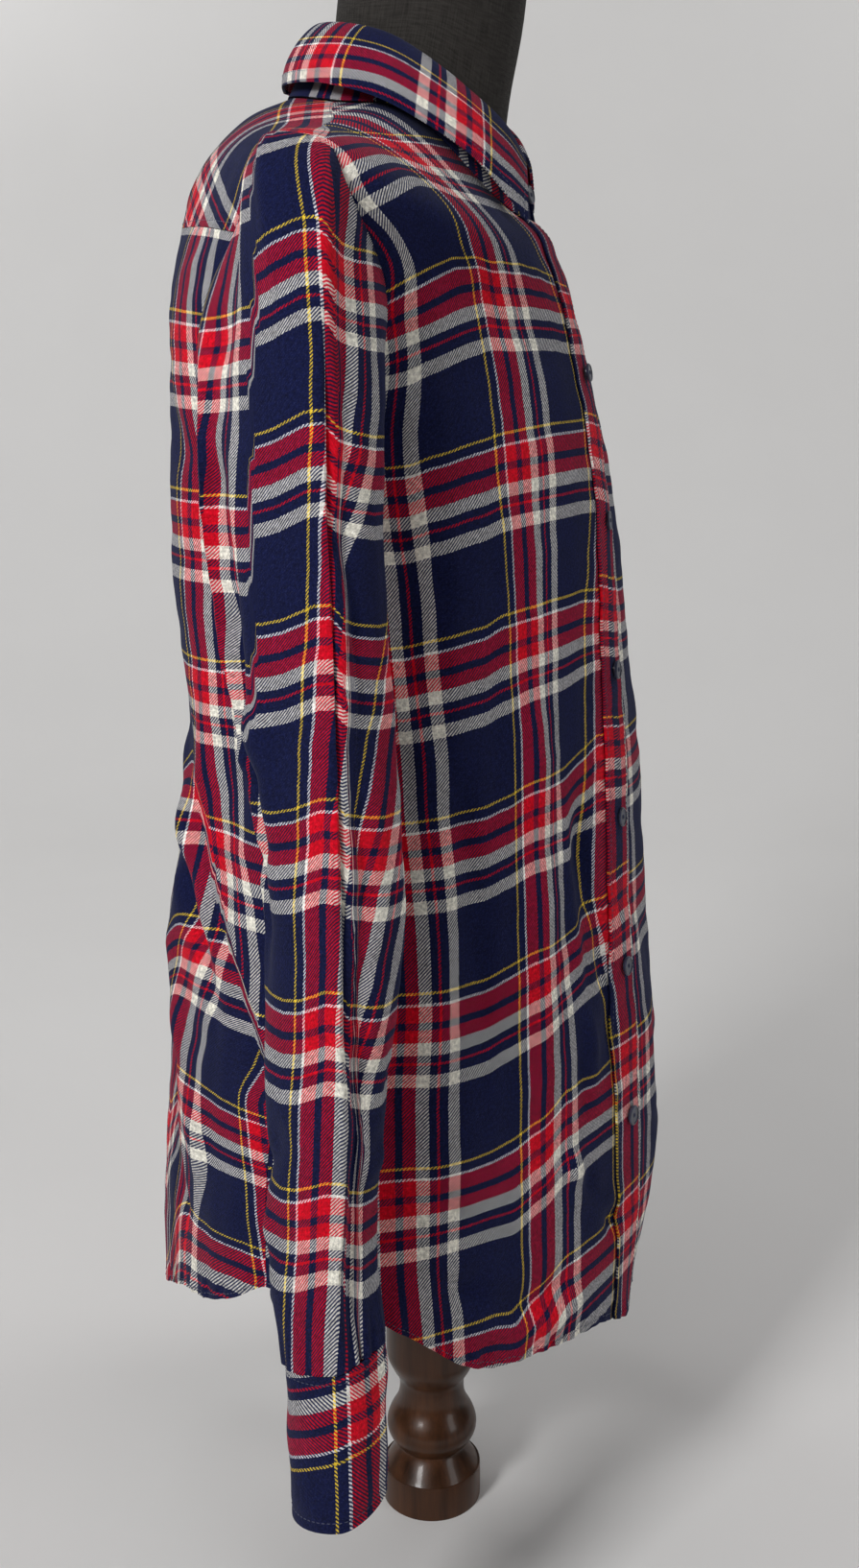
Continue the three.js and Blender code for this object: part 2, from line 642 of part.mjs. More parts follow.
// Point of the sleeve or cuff moved out from its middle.
function pointOutside(surface, turn, stage, out) {
  const wrapped = (value) => (value + 360) % 360;
  const across = surface(wrapped(turn + 2), stage).sub(surface(wrapped(turn - 2), stage));
  const upward = surface(turn, stage - 0.05).sub(surface(turn, stage + 0.05));
  const middle = surface(turn, stage);
  const normal = across.cross(upward).normalize();
  const axis = new THREE.Vector3(-183, 5, middle.z);
  if (normal.dot(middle.clone().sub(axis)) < 0) normal.negate();
  return middle.addScaledVector(normal, out);
}

// Narrow band over the slit above the cuff, from the cuff seam upward.
function sleeveBand(side) {
  const last = sleeveLevels.length;
  const sleeveEnd = sleevePoint(cuffOpening, last, side).z;
  const stageAt = (height) => {
    let stage = last;
    while (sleevePoint(cuffOpening, stage, side).z < height) stage -= 0.01;
    return stage;
  };
  const halfTurn = slitBandWidth / 2 / slitRadius / radians;
  const stages = evenSteps(1, sleeveSlit, 6).map((rise) => stageAt(sleeveEnd + rise));
  const place = (across, stage) => {
    const turn = cuffOpening + across * halfTurn;
    return mirrored(pointOutside(sleevePoint, turn, stage, wall + seamGap + facetRoom), side);
  };
  return wallThrough(place, ordered([-1, 0, 1], side), stages, wall);
}

function cuffPoint(turn, stage) {
  return levelPoint(levelRow(cuffLevels, stage), turn);
}

// The cuff is one band: its front end passes over its back end at the opening.
function cuff(side) {
  const overlapTurn = cuffOverlap / cuffRadius / radians;
  const turns = evenSteps(cuffOpening - 360, cuffOpening + overlapTurn, 22);
  const place = (turn, stage) => {
    const past = smooth(cuffOpening - overlapStart, cuffOpening - overlapFull, turn);
    const out = past * (doubleWall + seamGap);
    const wrapped = (turn + 360) % 360;
    return mirrored(pointOutside(cuffPoint, wrapped, stage, out), side);
  };
  const stages = evenSteps(0, cuffLevels.length - 1, 2);
  return wallThrough(place, ordered(turns, side), stages, doubleWall);
}

function collarRow(place) {
  const row = {};
  for (const column of Object.keys(collarRows[0])) {
    row[column] = alongTable(collarRows, column, Math.abs(place));
  }
  return row;
}

// Fold line of the collar. It lies a little further back on the left half.
function foldPoint(place) {
  const distance = Math.min(Math.abs(place), collarEnd);
  const row = collarRow(distance);
  const point = new THREE.Vector3(row.foldX, row.foldY, row.foldZ);
  if (place > 0) point.y += leftFoldBack * Math.sin(Math.PI * (distance / collarEnd) ** 2);
  return point;
}

// Places along the collar run from the right end over the centre back to the left end.
const collarEnd = collarRows.length - 1;
const collarPlaces = evenSteps(-collarEnd, collarEnd, 28);

// The stand rises from the neck seam to the fold line. Its ends meet at the centre front.
function standPoint(place, rise) {
  const row = collarRow(place);
  const seam = bodyMiddle(row.at, neckRing);
  const fold = foldPoint(place);
  const upward = fold.clone().sub(seam).normalize();
  seam.addScaledVector(upward, wall / 2 + seamGap + facetRoom);
  const point = seam.lerp(fold, rise);
  point.x *= place > 0 ? -1 : 1;
  return point;
}

function collarStand() {
  return wallThrough(standPoint, [...collarPlaces], evenSteps(0, 1, 2), doubleWall);
}

// The leaf starts on top of the stand, rolls over it and falls to its outer edge. The left point
// of the collar sits a little higher and further back than the right one.
function leafPoint(place, fall) {
  const distance = Math.abs(place);
  const row = collarRow(place);
  const fold = foldPoint(place);
  const upward = fold.clone().sub(bodyMiddle(row.at, neckRing)).normalize();
  const half = Math.sign(place || -1);
  const ahead = foldPoint(half * (distance + 0.1));
  const behind = foldPoint(half * Math.max(distance - 0.1, 0));
  const outward = ahead.sub(behind).cross(upward).normalize();
  const start = fold.addScaledVector(upward, doubleWall / 2 + seamGap + facetRoom);
  const edge = new THREE.Vector3(row.edgeX, row.edgeY, row.edgeZ);
  if (place > 0) {
    const shift = (distance / collarEnd) ** 4;
    edge.y += leftTipBack * shift;
    edge.z += leftTipRise * shift;
  }
  const roll = THREE.MathUtils.lerp(rollBack, rollFront, distance / collarEnd);
  const first = start.clone().addScaledVector(outward, roll).addScaledVector(upward, rollRise);
  const second = edge.clone().addScaledVector(outward, edgeFlare).addScaledVector(up, edgeRise);
  const point = new THREE.CubicBezierCurve3(start, first, second, edge).getPoint(fall);
  point.x *= place > 0 ? -1 : 1;
  return point;
}

function collarLeaf() {
  return wallThrough(leafPoint, [...collarPlaces], [0, 0.12, 0.3, 0.55, 0.8, 1], doubleWall);
}

// A round button lying at a point, facing along a direction.
function button(point, facing) {
  const radius = buttonWidth / 2;
  const outline = [
    [0, 0],
    [radius - buttonRim, 0],
    [radius, buttonThick / 2],
    [radius - buttonRim, buttonThick],
    [radius - 2 * buttonRim, buttonThick - buttonDish],
    [0, buttonThick - buttonDish],
  ];
  const disc = new THREE.LatheGeometry(outline.map(([x, y]) => new THREE.Vector2(x, y)), 12);
  disc.applyQuaternion(new THREE.Quaternion().setFromUnitVectors(new THREE.Vector3(0, 1, 0), facing));
  return disc.translate(point.x, point.y, point.z);
}

function frontButton(height) {
  let ring = 0;
  while (bodyMiddle(0, ring).z < height) ring += 0.01;
  const out = wall / 2 + wall + 2 * seamGap + facetRoom / 2;
  return button(bodyPoint(0, ring, out), bodyNormal(0, ring));
}

function standButton() {
  const low = standPoint(-collarEnd, 0.1);
  const high = standPoint(-collarEnd, 0.75);
  const middle = low.lerp(high, 0.5);
  const facing = new THREE.Vector3(0, -1, -0.25).normalize();
  middle.x = -10;
  return button(middle.addScaledVector(facing, 2.4), facing);
}

function cuffButton(side) {
  const turn = cuffOpening + cuffOverlap / 2 / cuffRadius / radians;
  const out = doubleWall * 1.5 + 2 * seamGap + 0.3;
  const point = pointOutside(cuffPoint, turn, 1, out);
  const facing = point.clone().sub(pointOutside(cuffPoint, turn, 1, 0)).normalize();
  return button(mirrored(point, side), mirrored(facing, side));
}

function dressForm() {
  const directions = evenSteps(-180, 180, formColumns).slice(0, -1);
  const seat = seatRings.map((ring) => {
    const row = bodyRow(ring);
    for (const column of ['front', 'side', 'back', 'aft']) row[column] -= seatInset;
    row.half -= seatInset / 2;
    row.fore += frontSeatInset;
    return row;
  });
  const rows = [...torsoRings, ...seat, ...neckRings];
  return ringSolid(rows.map((row) => directions.map((direction) => ovalPoint(row, direction))));
}

function woodPost() {
  const outline = postProfile.map(({ radius, height }) => new THREE.Vector2(radius, height));
  const closed = [new THREE.Vector2(0, 0), ...outline, new THREE.Vector2(0, outline.at(-1).y)];
  return new THREE.LatheGeometry(closed, postColumns).rotateX(Math.PI / 2);
}

const materials = {
  flannel: new THREE.MeshStandardMaterial({ color: 0x2a2440, roughness: 0.95, metalness: 0 }),
  linen: new THREE.MeshStandardMaterial({ color: 0x37332f, roughness: 0.9, metalness: 0 }),
  walnut: new THREE.MeshStandardMaterial({ color: 0x3a2416, roughness: 0.35, metalness: 0 }),
  button: new THREE.MeshStandardMaterial({ color: 0x1b1e33, roughness: 0.4, metalness: 0 }),
};

const shirt = new THREE.Group();

function add(name, geometry, material) {
  const mesh = new THREE.Mesh(geometry, material);
  mesh.name = name;
  shirt.add(mesh);
}

add('wood_post', woodPost(), materials.walnut);
add('form_body', dressForm(), materials.linen);
add('front_right', rightFront(), materials.flannel);
add('front_left', leftFront(), materials.flannel);
add('button_band', buttonBand(), materials.flannel);
add('back', back(), materials.flannel);
add('yoke', yoke(), materials.flannel);
add('collar_stand', collarStand(), materials.flannel);
add('collar_leaf', collarLeaf(), materials.flannel);
for (const side of ['right', 'left']) {
  add(`sleeve_${side}`, sleeve(side), materials.flannel);
  add(`sleeve_band_${side}`, sleeveBand(side), materials.flannel);
  add(`cuff_${side}`, cuff(side), materials.flannel);
  add(`cuff_button_${side}`, cuffButton(side), materials.button);
}
for (let count = 0; count < 6; count += 1) {
  const height = lastButtonHeight + count * buttonSpacing;
  add(`front_button_${count + 1}`, frontButton(height), materials.button);
}
add('stand_button', standButton(), materials.button);

export default shirt;
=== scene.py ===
import bpy
import math
import numpy as np
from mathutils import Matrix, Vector


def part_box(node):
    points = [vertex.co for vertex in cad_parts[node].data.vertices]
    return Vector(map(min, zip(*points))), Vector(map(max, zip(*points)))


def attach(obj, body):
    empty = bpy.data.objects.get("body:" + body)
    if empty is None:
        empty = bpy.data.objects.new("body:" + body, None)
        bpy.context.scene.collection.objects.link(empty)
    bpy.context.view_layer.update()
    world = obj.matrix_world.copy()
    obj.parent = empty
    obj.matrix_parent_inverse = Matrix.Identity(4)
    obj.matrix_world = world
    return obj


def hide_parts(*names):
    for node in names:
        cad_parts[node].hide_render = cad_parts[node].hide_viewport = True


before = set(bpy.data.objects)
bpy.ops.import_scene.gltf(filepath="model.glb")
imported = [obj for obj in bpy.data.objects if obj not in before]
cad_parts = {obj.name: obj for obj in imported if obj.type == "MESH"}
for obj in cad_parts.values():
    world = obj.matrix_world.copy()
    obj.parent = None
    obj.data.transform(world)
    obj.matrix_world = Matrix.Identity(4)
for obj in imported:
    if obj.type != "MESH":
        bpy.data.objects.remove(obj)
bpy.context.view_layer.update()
print("frame loaded")

# sizes
cloth = {
    "wall": 0.0012,  # one layer of flannel
    "doubleWall": 0.0016,  # collar and cuffs
    "seamGap": 0.0003,
    "facetRoom": 0.0008,
    "capLift": 0.001,
    "hemReach": 1.8,
    "wrap": 0.012,
    "bandWidth": 0.028,
    "cuffOverlap": 0.022,
    "sleeveSlit": 0.105,
    "slitBandWidth": 0.02,
    "sideSeam": -98,
    "yokeSeamRing": 8.3,
    "tipRing": 9.2,
    "cuffOpening": 196,
}

# front, side, back, half, fore, aft, foreTaper, aftTaper
bodyRings = np.array([
    (0.116, 0.194, 0.118, 0.157, -0.109, 0.162, 1, 1),
    (0.185, 0.24, 0.182, 0.155, -0.108, 0.162, 1, 1),
    (0.27, 0.29, 0.268, 0.15, -0.106, 0.156, 1, 1),
    (0.36, 0.362, 0.358, 0.145, -0.103, 0.148, 1, 1),
    (0.45, 0.448, 0.446, 0.141, -0.102, 0.138, 1, 1),
    (0.535, 0.525, 0.535, 0.143, -0.1, 0.146, 1, 1),
    (0.605, 0.59, 0.612, 0.147, -0.095, 0.148, 1, 1),
    (0.655, 0.64, 0.668, 0.147, -0.088, 0.15, 1, 1),
    (0.695, 0.695, 0.722, 0.156, -0.079, 0.145, 1, 1.3),
    (0.716, 0.756, 0.764, 0.189, -0.071, 0.138, 1, 3.2),
    (0.729, 0.777, 0.797, 0.128, -0.067, 0.113, 1, 2.1),
    (0.738, 0.798, 0.812, 0.074, -0.06, 0.085, 1, 1.1),
])
# direction, height
hemLine = np.array([
    (-180, 0.118), (-165, 0.124), (-150, 0.14), (-135, 0.155), (-120, 0.166), (-108, 0.178),
    (-98, 0.191), (-86, 0.19), (-75, 0.181), (-65, 0.167), (-55, 0.149), (-45, 0.139),
    (-30, 0.136), (-15, 0.132), (-6, 0.124), (4, 0.115), (16, 0.115), (28, 0.13), (40, 0.151),
    (55, 0.164), (70, 0.18), (84, 0.191), (98, 0.192), (110, 0.18), (128, 0.162), (150, 0.138),
    (165, 0.124), (180, 0.118),
])
# at, width, depth, rise, full, fade, end
bodyFolds = [
    (36, 21, 0.034, -0.6, 1.2, 1.5, 7.5),  # left front flare
    (34, 20, 0.004, 4, 6, 6, 8),  # left bust
    (-42, 16, -0.011, -3, -2, 7, 9),  # right front hollow
    (-71, 6, -0.008, 0, 2, 6, 8),  # grooves beside the sleeves
    (71, 6, -0.008, 0, 2, 6, 8),
    (-139, 21, -0.016, -3, -2, 0.5, 4),  # tail flats
    (139, 21, -0.015, -3, -2, 0.5, 4),
    (-121, 8, -0.009, 2, 4, 6, 8),  # blade folds
    (121, 8, -0.009, 2, 4, 6, 8),
]
# ring, direction
armholeFront = np.array([
    (6, -98), (6.2, -88), (6.6, -77), (7.2, -69.5), (7.8, -66), (8.4, -66.5), (9, -71), (9.2, -76),
])
armholeBack = np.array([
    (6, -98), (6.2, -108), (6.6, -115), (7.2, -118), (7.8, -117), (8.3, -118), (8.8, -120.5),
    (9, -118), (9.13, -108), (9.18, -92), (9.2, -76),
])
shoulderSeam = np.array([(9.2, -76), (9.6, -80), (10, -90), (10.5, -107), (11, -113)])
# height, outer, inner, crease, front, back, sharp, tilt
sleeveLevels = np.array([
    (0.585, -0.212, -0.153, -0.006, -0.023, 0.071, 1.4, 0),
    (0.53, -0.212, -0.152, -0.009, -0.025, 0.062, 1.4, 0),
    (0.47, -0.212, -0.15, -0.011, -0.029, 0.051, 1.4, 0),
    (0.4, -0.212, -0.151, -0.013, -0.033, 0.039, 1.35, 0),
    (0.335, -0.213, -0.155, -0.014, -0.029, 0.034, 1.3, 0),
    (0.27, -0.213, -0.16, -0.014, -0.022, 0.032, 1.2, 0),
    (0.225, -0.214, -0.163, -0.013, -0.022, 0.029, 1.15, 0.1),
    (0.187, -0.214, -0.165, -0.012, -0.026, 0.023, 1.1, 0.25),
])
# top, bottom, width, depth, rise, end
sleeveFolds = [
    (33, 36, 10, -0.005, 0.4, 8.5),  # valley before the crease
    (303, 283, 10, -0.01, 0.3, 5),  # fold behind the crease
]
cuffLevels = np.array([
    (0.1864, -0.213, -0.166, -0.012, -0.026, 0.021, 1.1, 0.25),
    (0.152, -0.213, -0.167, -0.013, -0.027, 0.019, 1.1, 0.27),
    (0.114, -0.213, -0.167, -0.014, -0.027, 0.017, 1.1, 0.28),
])
sleeveMiddle = (-0.18, 0.008)
# at, foldX, foldY, foldZ, edgeX, edgeY, edgeZ
collarRows = np.array([
    (-180, 0, 0.066, 0.855, 0, 0.091, 0.822),
    (-150, -0.03, 0.057, 0.852, -0.042, 0.076, 0.818),
    (-120, -0.053, 0.033, 0.845, -0.076, 0.044, 0.811),
    (-92, -0.0615, 0.008, 0.836, -0.09, 0.008, 0.799),
    (-66, -0.056, -0.014, 0.822, -0.083, -0.019, 0.784),
    (-42, -0.042, -0.032, 0.807, -0.069, -0.041, 0.768),
    (-20, -0.023, -0.047, 0.792, -0.056, -0.056, 0.75),
    (-4, -0.003, -0.054, 0.776, -0.046, -0.066, 0.735),
])
leftTip = {"rise": 0.016, "back": 0.015, "foldBack": 0.004}
torsoRings = np.array([
    (0.238, 0.238, 0.238, 0.112, -0.076, 0.076, 1, 1),
    (0.244, 0.244, 0.244, 0.121, -0.085, 0.085, 1, 1),
    (0.3, 0.3, 0.3, 0.125, -0.09, 0.094, 1, 1),
    (0.37, 0.37, 0.37, 0.116, -0.087, 0.086, 1, 1),
    (0.44, 0.44, 0.44, 0.108, -0.085, 0.083, 1, 1),
    (0.52, 0.52, 0.52, 0.116, -0.088, 0.096, 1, 1),
    (0.59, 0.59, 0.59, 0.126, -0.085, 0.11, 1, 1),
    (0.64, 0.636, 0.645, 0.13, -0.077, 0.118, 1, 1.05),
    (0.685, 0.686, 0.706, 0.142, -0.068, 0.124, 1, 1.3),
    (0.706, 0.724, 0.738, 0.158, -0.062, 0.126, 1, 2),
    (0.717, 0.748, 0.764, 0.162, -0.06, 0.122, 1, 2.4),
    (0.722, 0.758, 0.777, 0.154, -0.06, 0.118, 1, 2.4),
])
seatRings = [9.75, 10.1, 10.45, 10.8]
neckRings = np.array([
    (0.744, 0.802, 0.816, 0.061, -0.048, 0.069, 1, 1),
    (0.764, 0.812, 0.828, 0.053, -0.041, 0.062, 1, 1),
    (0.81, 0.835, 0.846, 0.052, -0.045, 0.058, 1, 1),
    (0.86, 0.868, 0.872, 0.0545, -0.054, 0.055, 1, 1),
    (0.918, 0.918, 0.918, 0.0545, -0.059, 0.05, 1, 1),
    (0.926, 0.927, 0.926, 0.05, -0.0545, 0.0455, 1, 1),
    (0.93, 0.932, 0.93, 0.036, -0.04, 0.032, 1, 1),
])
# radius, height
postProfile = np.array([
    (0.0276, 0), (0.0282, 0.001), (0.0282, 0.0166), (0.0272, 0.0176), (0.0242, 0.022),
    (0.0202, 0.028), (0.02, 0.03), (0.0225, 0.0325), (0.0253, 0.037), (0.026, 0.042),
    (0.0242, 0.0475), (0.0204, 0.054), (0.0188, 0.06), (0.0192, 0.067), (0.0226, 0.073),
    (0.026, 0.08), (0.0266, 0.088), (0.0266, 0.2377),
])


# curves and surfaces
def smooth(low, high, value):
    t = np.clip((value - low) / (high - low), 0, 1)
    return t * t * (3 - 2 * t)


def mix(a, b, t):
    return a + (b - a) * t


def alongRows(table, place):  # smooth curve through the rows of a table
    last = len(table) - 1
    place = np.clip(np.asarray(place, float), 0, last)
    index = np.minimum(place.astype(int), last - 1)
    t = (place - index)[..., None]
    wide = np.vstack([2 * table[0] - table[1], table, 2 * table[-1] - table[-2]])
    before, low, high, after = (wide[index + k] for k in range(4))
    start, end, rise = (high - before) / 2, (after - low) / 2, high - low
    return low + t * (start + t * (3 * rise - 2 * start - end + t * (start + end - 2 * rise)))


def smoothLine(table, steps=8):  # the same curve as dense points, for np.interp
    fine = alongRows(table, np.linspace(0, len(table) - 1, (len(table) - 1) * steps + 1))
    fine[:, 0] = np.maximum.accumulate(fine[:, 0])
    return fine


hemFine = smoothLine(hemLine)
armholeFrontFine = smoothLine(armholeFront)
armholeBackFine = smoothLine(armholeBack)
shoulderFine = smoothLine(shoulderSeam)


def ovalPoints(rows, direction):
    front, side, back, half, fore, aft, foreTaper, aftTaper = np.moveaxis(rows, -1, 0)
    sine, cosine = np.sin(np.radians(direction)), np.cos(np.radians(direction))
    level = np.where(cosine > 0, front, back)
    taper = np.where(cosine > 0, foreTaper, aftTaper)
    reach = np.sign(cosine) * np.abs(cosine) ** taper
    z = mix(level, side, np.abs(sine) ** 3)
    return np.stack([half * sine, (fore + aft) / 2 - (aft - fore) / 2 * reach, z], -1)


def bodyMiddle(direction, ring):
    direction, ring = np.broadcast_arrays(np.asarray(direction, float), np.asarray(ring, float))
    point = ovalPoints(alongRows(bodyRings, ring), direction)
    base = ovalPoints(np.broadcast_to(bodyRings[0], direction.shape + (8,)), direction)[..., 2]
    hem = np.interp(direction, hemFine[:, 0], hemFine[:, 1]) - base
    point[..., 2] += hem * (1 - smooth(0, cloth["hemReach"], ring))
    depth = 0
    for at, width, deep, rise, full, fade, end in bodyFolds:
        along = smooth(rise, full, ring) * (1 - smooth(fade, end, ring))
        depth = depth + deep * along * np.exp(-0.5 * ((direction - at) / width) ** 2)
    depth = depth * (1 - smooth(168, 180, np.abs(direction)))
    point[..., 0] += depth * np.sin(np.radians(direction))
    point[..., 1] -= depth * np.cos(np.radians(direction))
    return point


def unit(vectors):
    return vectors / np.maximum(np.linalg.norm(vectors, axis=-1, keepdims=True), 1e-12)


def bodyNormal(direction, ring):
    direction, ring = np.broadcast_arrays(np.asarray(direction, float), np.asarray(ring, float))
    low, high = np.maximum(ring - 0.04, 0), np.minimum(ring + 0.04, len(bodyRings) - 1)
    across = bodyMiddle(direction + 2.5, ring) - bodyMiddle(direction - 2.5, ring)
    return unit(np.cross(across, bodyMiddle(direction, high) - bodyMiddle(direction, low)))


def bodyPoint(direction, ring, out=0.0):
    return bodyMiddle(direction, ring) + bodyNormal(direction, ring) * np.asarray(out)[..., None]


def besideCentre(distance, ring):
    return np.degrees(np.arcsin(distance / alongRows(bodyRings, ring)[..., 3]))


def wave(x, y, size, seed):  # slow uneven rise and fall, about -1 to 1
    rng = np.random.default_rng(seed)
    total = 0
    for turn, phase, stretch in zip(rng.uniform(0, math.pi, 6), rng.uniform(0, 6.28, 6),
        rng.uniform(0.6, 1.7, 6)):
        total = total + np.sin((x * math.cos(turn) + y * math.sin(turn)) * 6.28 / size / stretch + phase)
    return total / 2.6


def creaseDepth(across, height, creases, seed=1):
    total = np.zeros(across.shape)
    for number, (depth, width, path) in enumerate(creases):
        fine = alongRows(np.array(path, float), np.linspace(0, len(path) - 1, (len(path) - 1) * 5 + 1))
        best = np.full(across.shape, 1e9)
        along = np.zeros(across.shape)
        for k in range(len(fine) - 1):
            (x0, y0), (x1, y1) = fine[k], fine[k + 1]
            dx, dy = x1 - x0, y1 - y0
            t = np.clip(((across - x0) * dx + (height - y0) * dy) / max(dx * dx + dy * dy, 1e-12), 0, 1)
            away = np.hypot(across - x0 - t * dx, height - y0 - t * dy)
            along = np.where(away < best, (k + t) / (len(fine) - 1), along)
            best = np.minimum(best, away)
        fade = smooth(0, 0.25, along) * smooth(0, 0.25, 1 - along)
        uneven = 1 + 0.3 * wave(across, height, 0.05, seed + number)
        total += depth * uneven * fade * np.exp(-0.5 * (best / width) ** 2)
    return total


def gridNormals(points, loop=False):
    if loop:
        across = np.roll(points, -1, 1) - np.roll(points, 1, 1)
    else:
        across = np.gradient(points, axis=1)
    return unit(np.cross(across, np.gradient(points, axis=0)))


def layFlat(points, grain, steps=260):
    # flat coordinates of the cloth at each grid point: across the grain, and down it
    normal = gridNormals(points)
    along = unit(grain - normal * (grain * normal).sum(-1, keepdims=True))
    side = np.cross(along, normal)
    flat = []
    for way in (side, -along):
        wantedAcross = ((points[:, 1:] - points[:, :-1]) * (way[:, 1:] + way[:, :-1]) / 2).sum(-1)
        wantedDown = ((points[1:] - points[:-1]) * (way[1:] + way[:-1]) / 2).sum(-1)

        def spread(across, down):
            result = np.zeros(points.shape[:2])
            result[:, 1:] += across
            result[:, :-1] -= across
            result[1:] += down
            result[:-1] -= down
            return result

        field = np.zeros(points.shape[:2])
        field[:, 1:] += np.cumsum(wantedAcross, 1)
        field += (field[0:1] * 0) + np.concatenate([[0], np.cumsum(wantedDown.mean(1))])[:, None]
        rest = spread(wantedAcross, wantedDown) - spread(np.diff(field, axis=1), np.diff(field, axis=0))
        step = rest.copy()
        power = (rest * rest).sum()
        for _ in range(steps):
            pushed = spread(np.diff(step, axis=1), np.diff(step, axis=0))
            size = power / max((step * pushed).sum(), 1e-30)
            field += size * step
            rest -= size * pushed
            newPower = (rest * rest).sum()
            if newPower < 1e-14:
                break
            step = rest + step * newPower / power
            power = newPower
        flat.append(field)
    return np.stack(flat, -1)


def pinned(flat, points, across=None, down=None):
    # shifts the flat coordinates so that given ones stand at given points of the piece
    flat = flat.copy()
    for axis, pin in ((0, across), (1, down)):
        if pin is not None:
            value, place = pin
            nearest = np.unravel_index(np.argmin(((points - np.array(place)) ** 2).sum(-1)),
                points.shape[:2])
            flat[..., axis] += value - flat[..., axis][nearest]
    return flat


# meshes
def meshFrom(name, vertices, faces, uvs=None, angle=50):
    mesh = bpy.data.meshes.new(name)
    mesh.from_pydata([tuple(v) for v in np.asarray(vertices)], [], [tuple(f) for f in faces])
    if uvs is not None:
        layer = mesh.uv_layers.new(name="cloth")
        layer.data.foreach_set("uv", np.asarray(uvs, np.float32).ravel())
    mesh.validate()
    mesh.update()
    mesh.shade_smooth()
    mesh.set_sharp_from_angle(angle=math.radians(angle))
    piece = bpy.data.objects.new(name, mesh)
    bpy.context.scene.collection.objects.link(piece)
    return piece


stitchLines = []
surfaces = []  # grids that buttons stand on


def facingOut(points):  # unit normals of a grid that face away from its own middle
    normal = gridNormals(points)
    middle = np.array([0, 0.02]) if np.ptp(points[..., 0]) > 0.1 else points[..., :2].mean((0, 1))
    middle = np.array([middle[0], middle[1]])
    return normal if ((points[..., :2] - middle) * normal[..., :2]).sum() > 0 else -normal


def seam(points, thickness, row=None, column=None, trim=0):
    # a line of stitches on the outside of a grid, along one of its rows or columns
    line = points + facingOut(points) * (thickness / 2 + 0.0001)
    line = line[row] if row is not None else line[:, column]
    stitchLines.append(line[trim:len(line) - trim])


def clothShell(name, middle, flat, thickness, loop=False):
    # closed wall through a grid; a looped grid repeats its first column as its last
    normal = gridNormals(middle[:, :-1], True) if loop else gridNormals(middle)
    if loop:
        normal = np.concatenate([normal, normal[:, :1]], 1)
    rows, columns = middle.shape[:2]
    stored = columns - 1 if loop else columns
    outer = (middle + normal * thickness / 2)[:, :stored]
    inner = (middle - normal * thickness / 2)[:, :stored]
    vertices = np.concatenate([outer.reshape(-1, 3), inner.reshape(-1, 3)])
    size = rows * stored
    row, column = np.meshgrid(np.arange(rows - 1), np.arange(columns - 1), indexing="ij")
    row, column = row.ravel(), column.ravel()

    def at(r, c, layer=0):
        return layer * size + r * stored + c % stored

    quads = [np.stack([at(row, column), at(row, column + 1), at(row + 1, column + 1), at(row + 1, column)],
        1)]
    places = [np.stack([row * columns + column, row * columns + column + 1,
        (row + 1) * columns + column + 1, (row + 1) * columns + column], 1)]
    quads.append(np.stack([at(row, column, 1), at(row + 1, column, 1), at(row + 1, column + 1, 1),
        at(row, column + 1, 1)], 1))
    places.append(places[0][:, [0, 3, 2, 1]])
    c = np.arange(columns - 1)
    for r, flip in ((0, False), (rows - 1, True)):
        quad = np.stack([at(r, c), at(r, c, 1), at(r, c + 1, 1), at(r, c + 1)], 1)
        place = np.stack([r * columns + c, r * columns + c, r * columns + c + 1, r * columns + c + 1], 1)
        quads.append(quad[:, ::-1] if flip else quad)
        places.append(place[:, ::-1] if flip else place)
    if not loop:
        r = np.arange(rows - 1)
        for c, flip in ((0, False), (columns - 1, True)):
            quad = np.stack([at(r, c), at(r + 1, c), at(r + 1, c, 1), at(r, c, 1)], 1)
            place = np.stack([r * columns + c, (r + 1) * columns + c, (r + 1) * columns + c,
                r * columns + c], 1)
            quads.append(quad[:, ::-1] if flip else quad)
            places.append(place[:, ::-1] if flip else place)
    quads, places = np.concatenate(quads), np.concatenate(places)
    corners = vertices[quads]
    volume = (np.cross(corners[:, 1] - corners[:, 0], corners[:, 2] - corners[:, 0]) * corners[:, 0]).sum()
    volume += (np.cross(corners[:, 2] - corners[:, 0], corners[:, 3] - corners[:, 0]) * corners[:, 0]).sum()
    if volume < 0:
        quads, places = quads[:, ::-1], places[:, ::-1]
    piece = meshFrom(name, vertices, quads, flat.reshape(-1, 2)[places.ravel()])
    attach(piece, "root")
    return piece


# material helpers
def addNode(tree, kind, inputs=None, **settings):
    node = tree.nodes.new(kind)
    for key, value in settings.items():
        setattr(node, key, value)
    for key, value in (inputs or {}).items():
        if isinstance(value, bpy.types.NodeSocket):
            tree.links.new(value, node.inputs[key])
        else:
            node.inputs[key].default_value = value
    return node


def calc(tree, operation, *values, clamp=False):
    node = addNode(tree, "ShaderNodeMath", dict(enumerate(values)), operation=operation, use_clamp=clamp)
    return node.outputs[0]


def blend(tree, factor, a, b, kind="MIX"):
    node = addNode(tree, "ShaderNodeMix", {0: factor, 6: a, 7: b}, data_type="RGBA", blend_type=kind)
    return node.outputs[2]


def noise(tree, vector, scale, detail=3.0, roughness=0.55):
    node = addNode(tree, "ShaderNodeTexNoise",
        {"Vector": vector, "Scale": scale, "Detail": detail, "Roughness": roughness})
    return node.outputs["Fac"]


def newGroup(name, inputs, outputs):
    group = bpy.data.node_groups.new(name, "ShaderNodeTree")
    for label, kind, value in inputs:
        socket = group.interface.new_socket(label, in_out="INPUT", socket_type=kind)
        if value is not None:
            socket.default_value = value
    for label, kind in outputs:
        group.interface.new_socket(label, in_out="OUTPUT", socket_type=kind)
    return group, group.nodes.new("NodeGroupInput"), group.nodes.new("NodeGroupOutput")


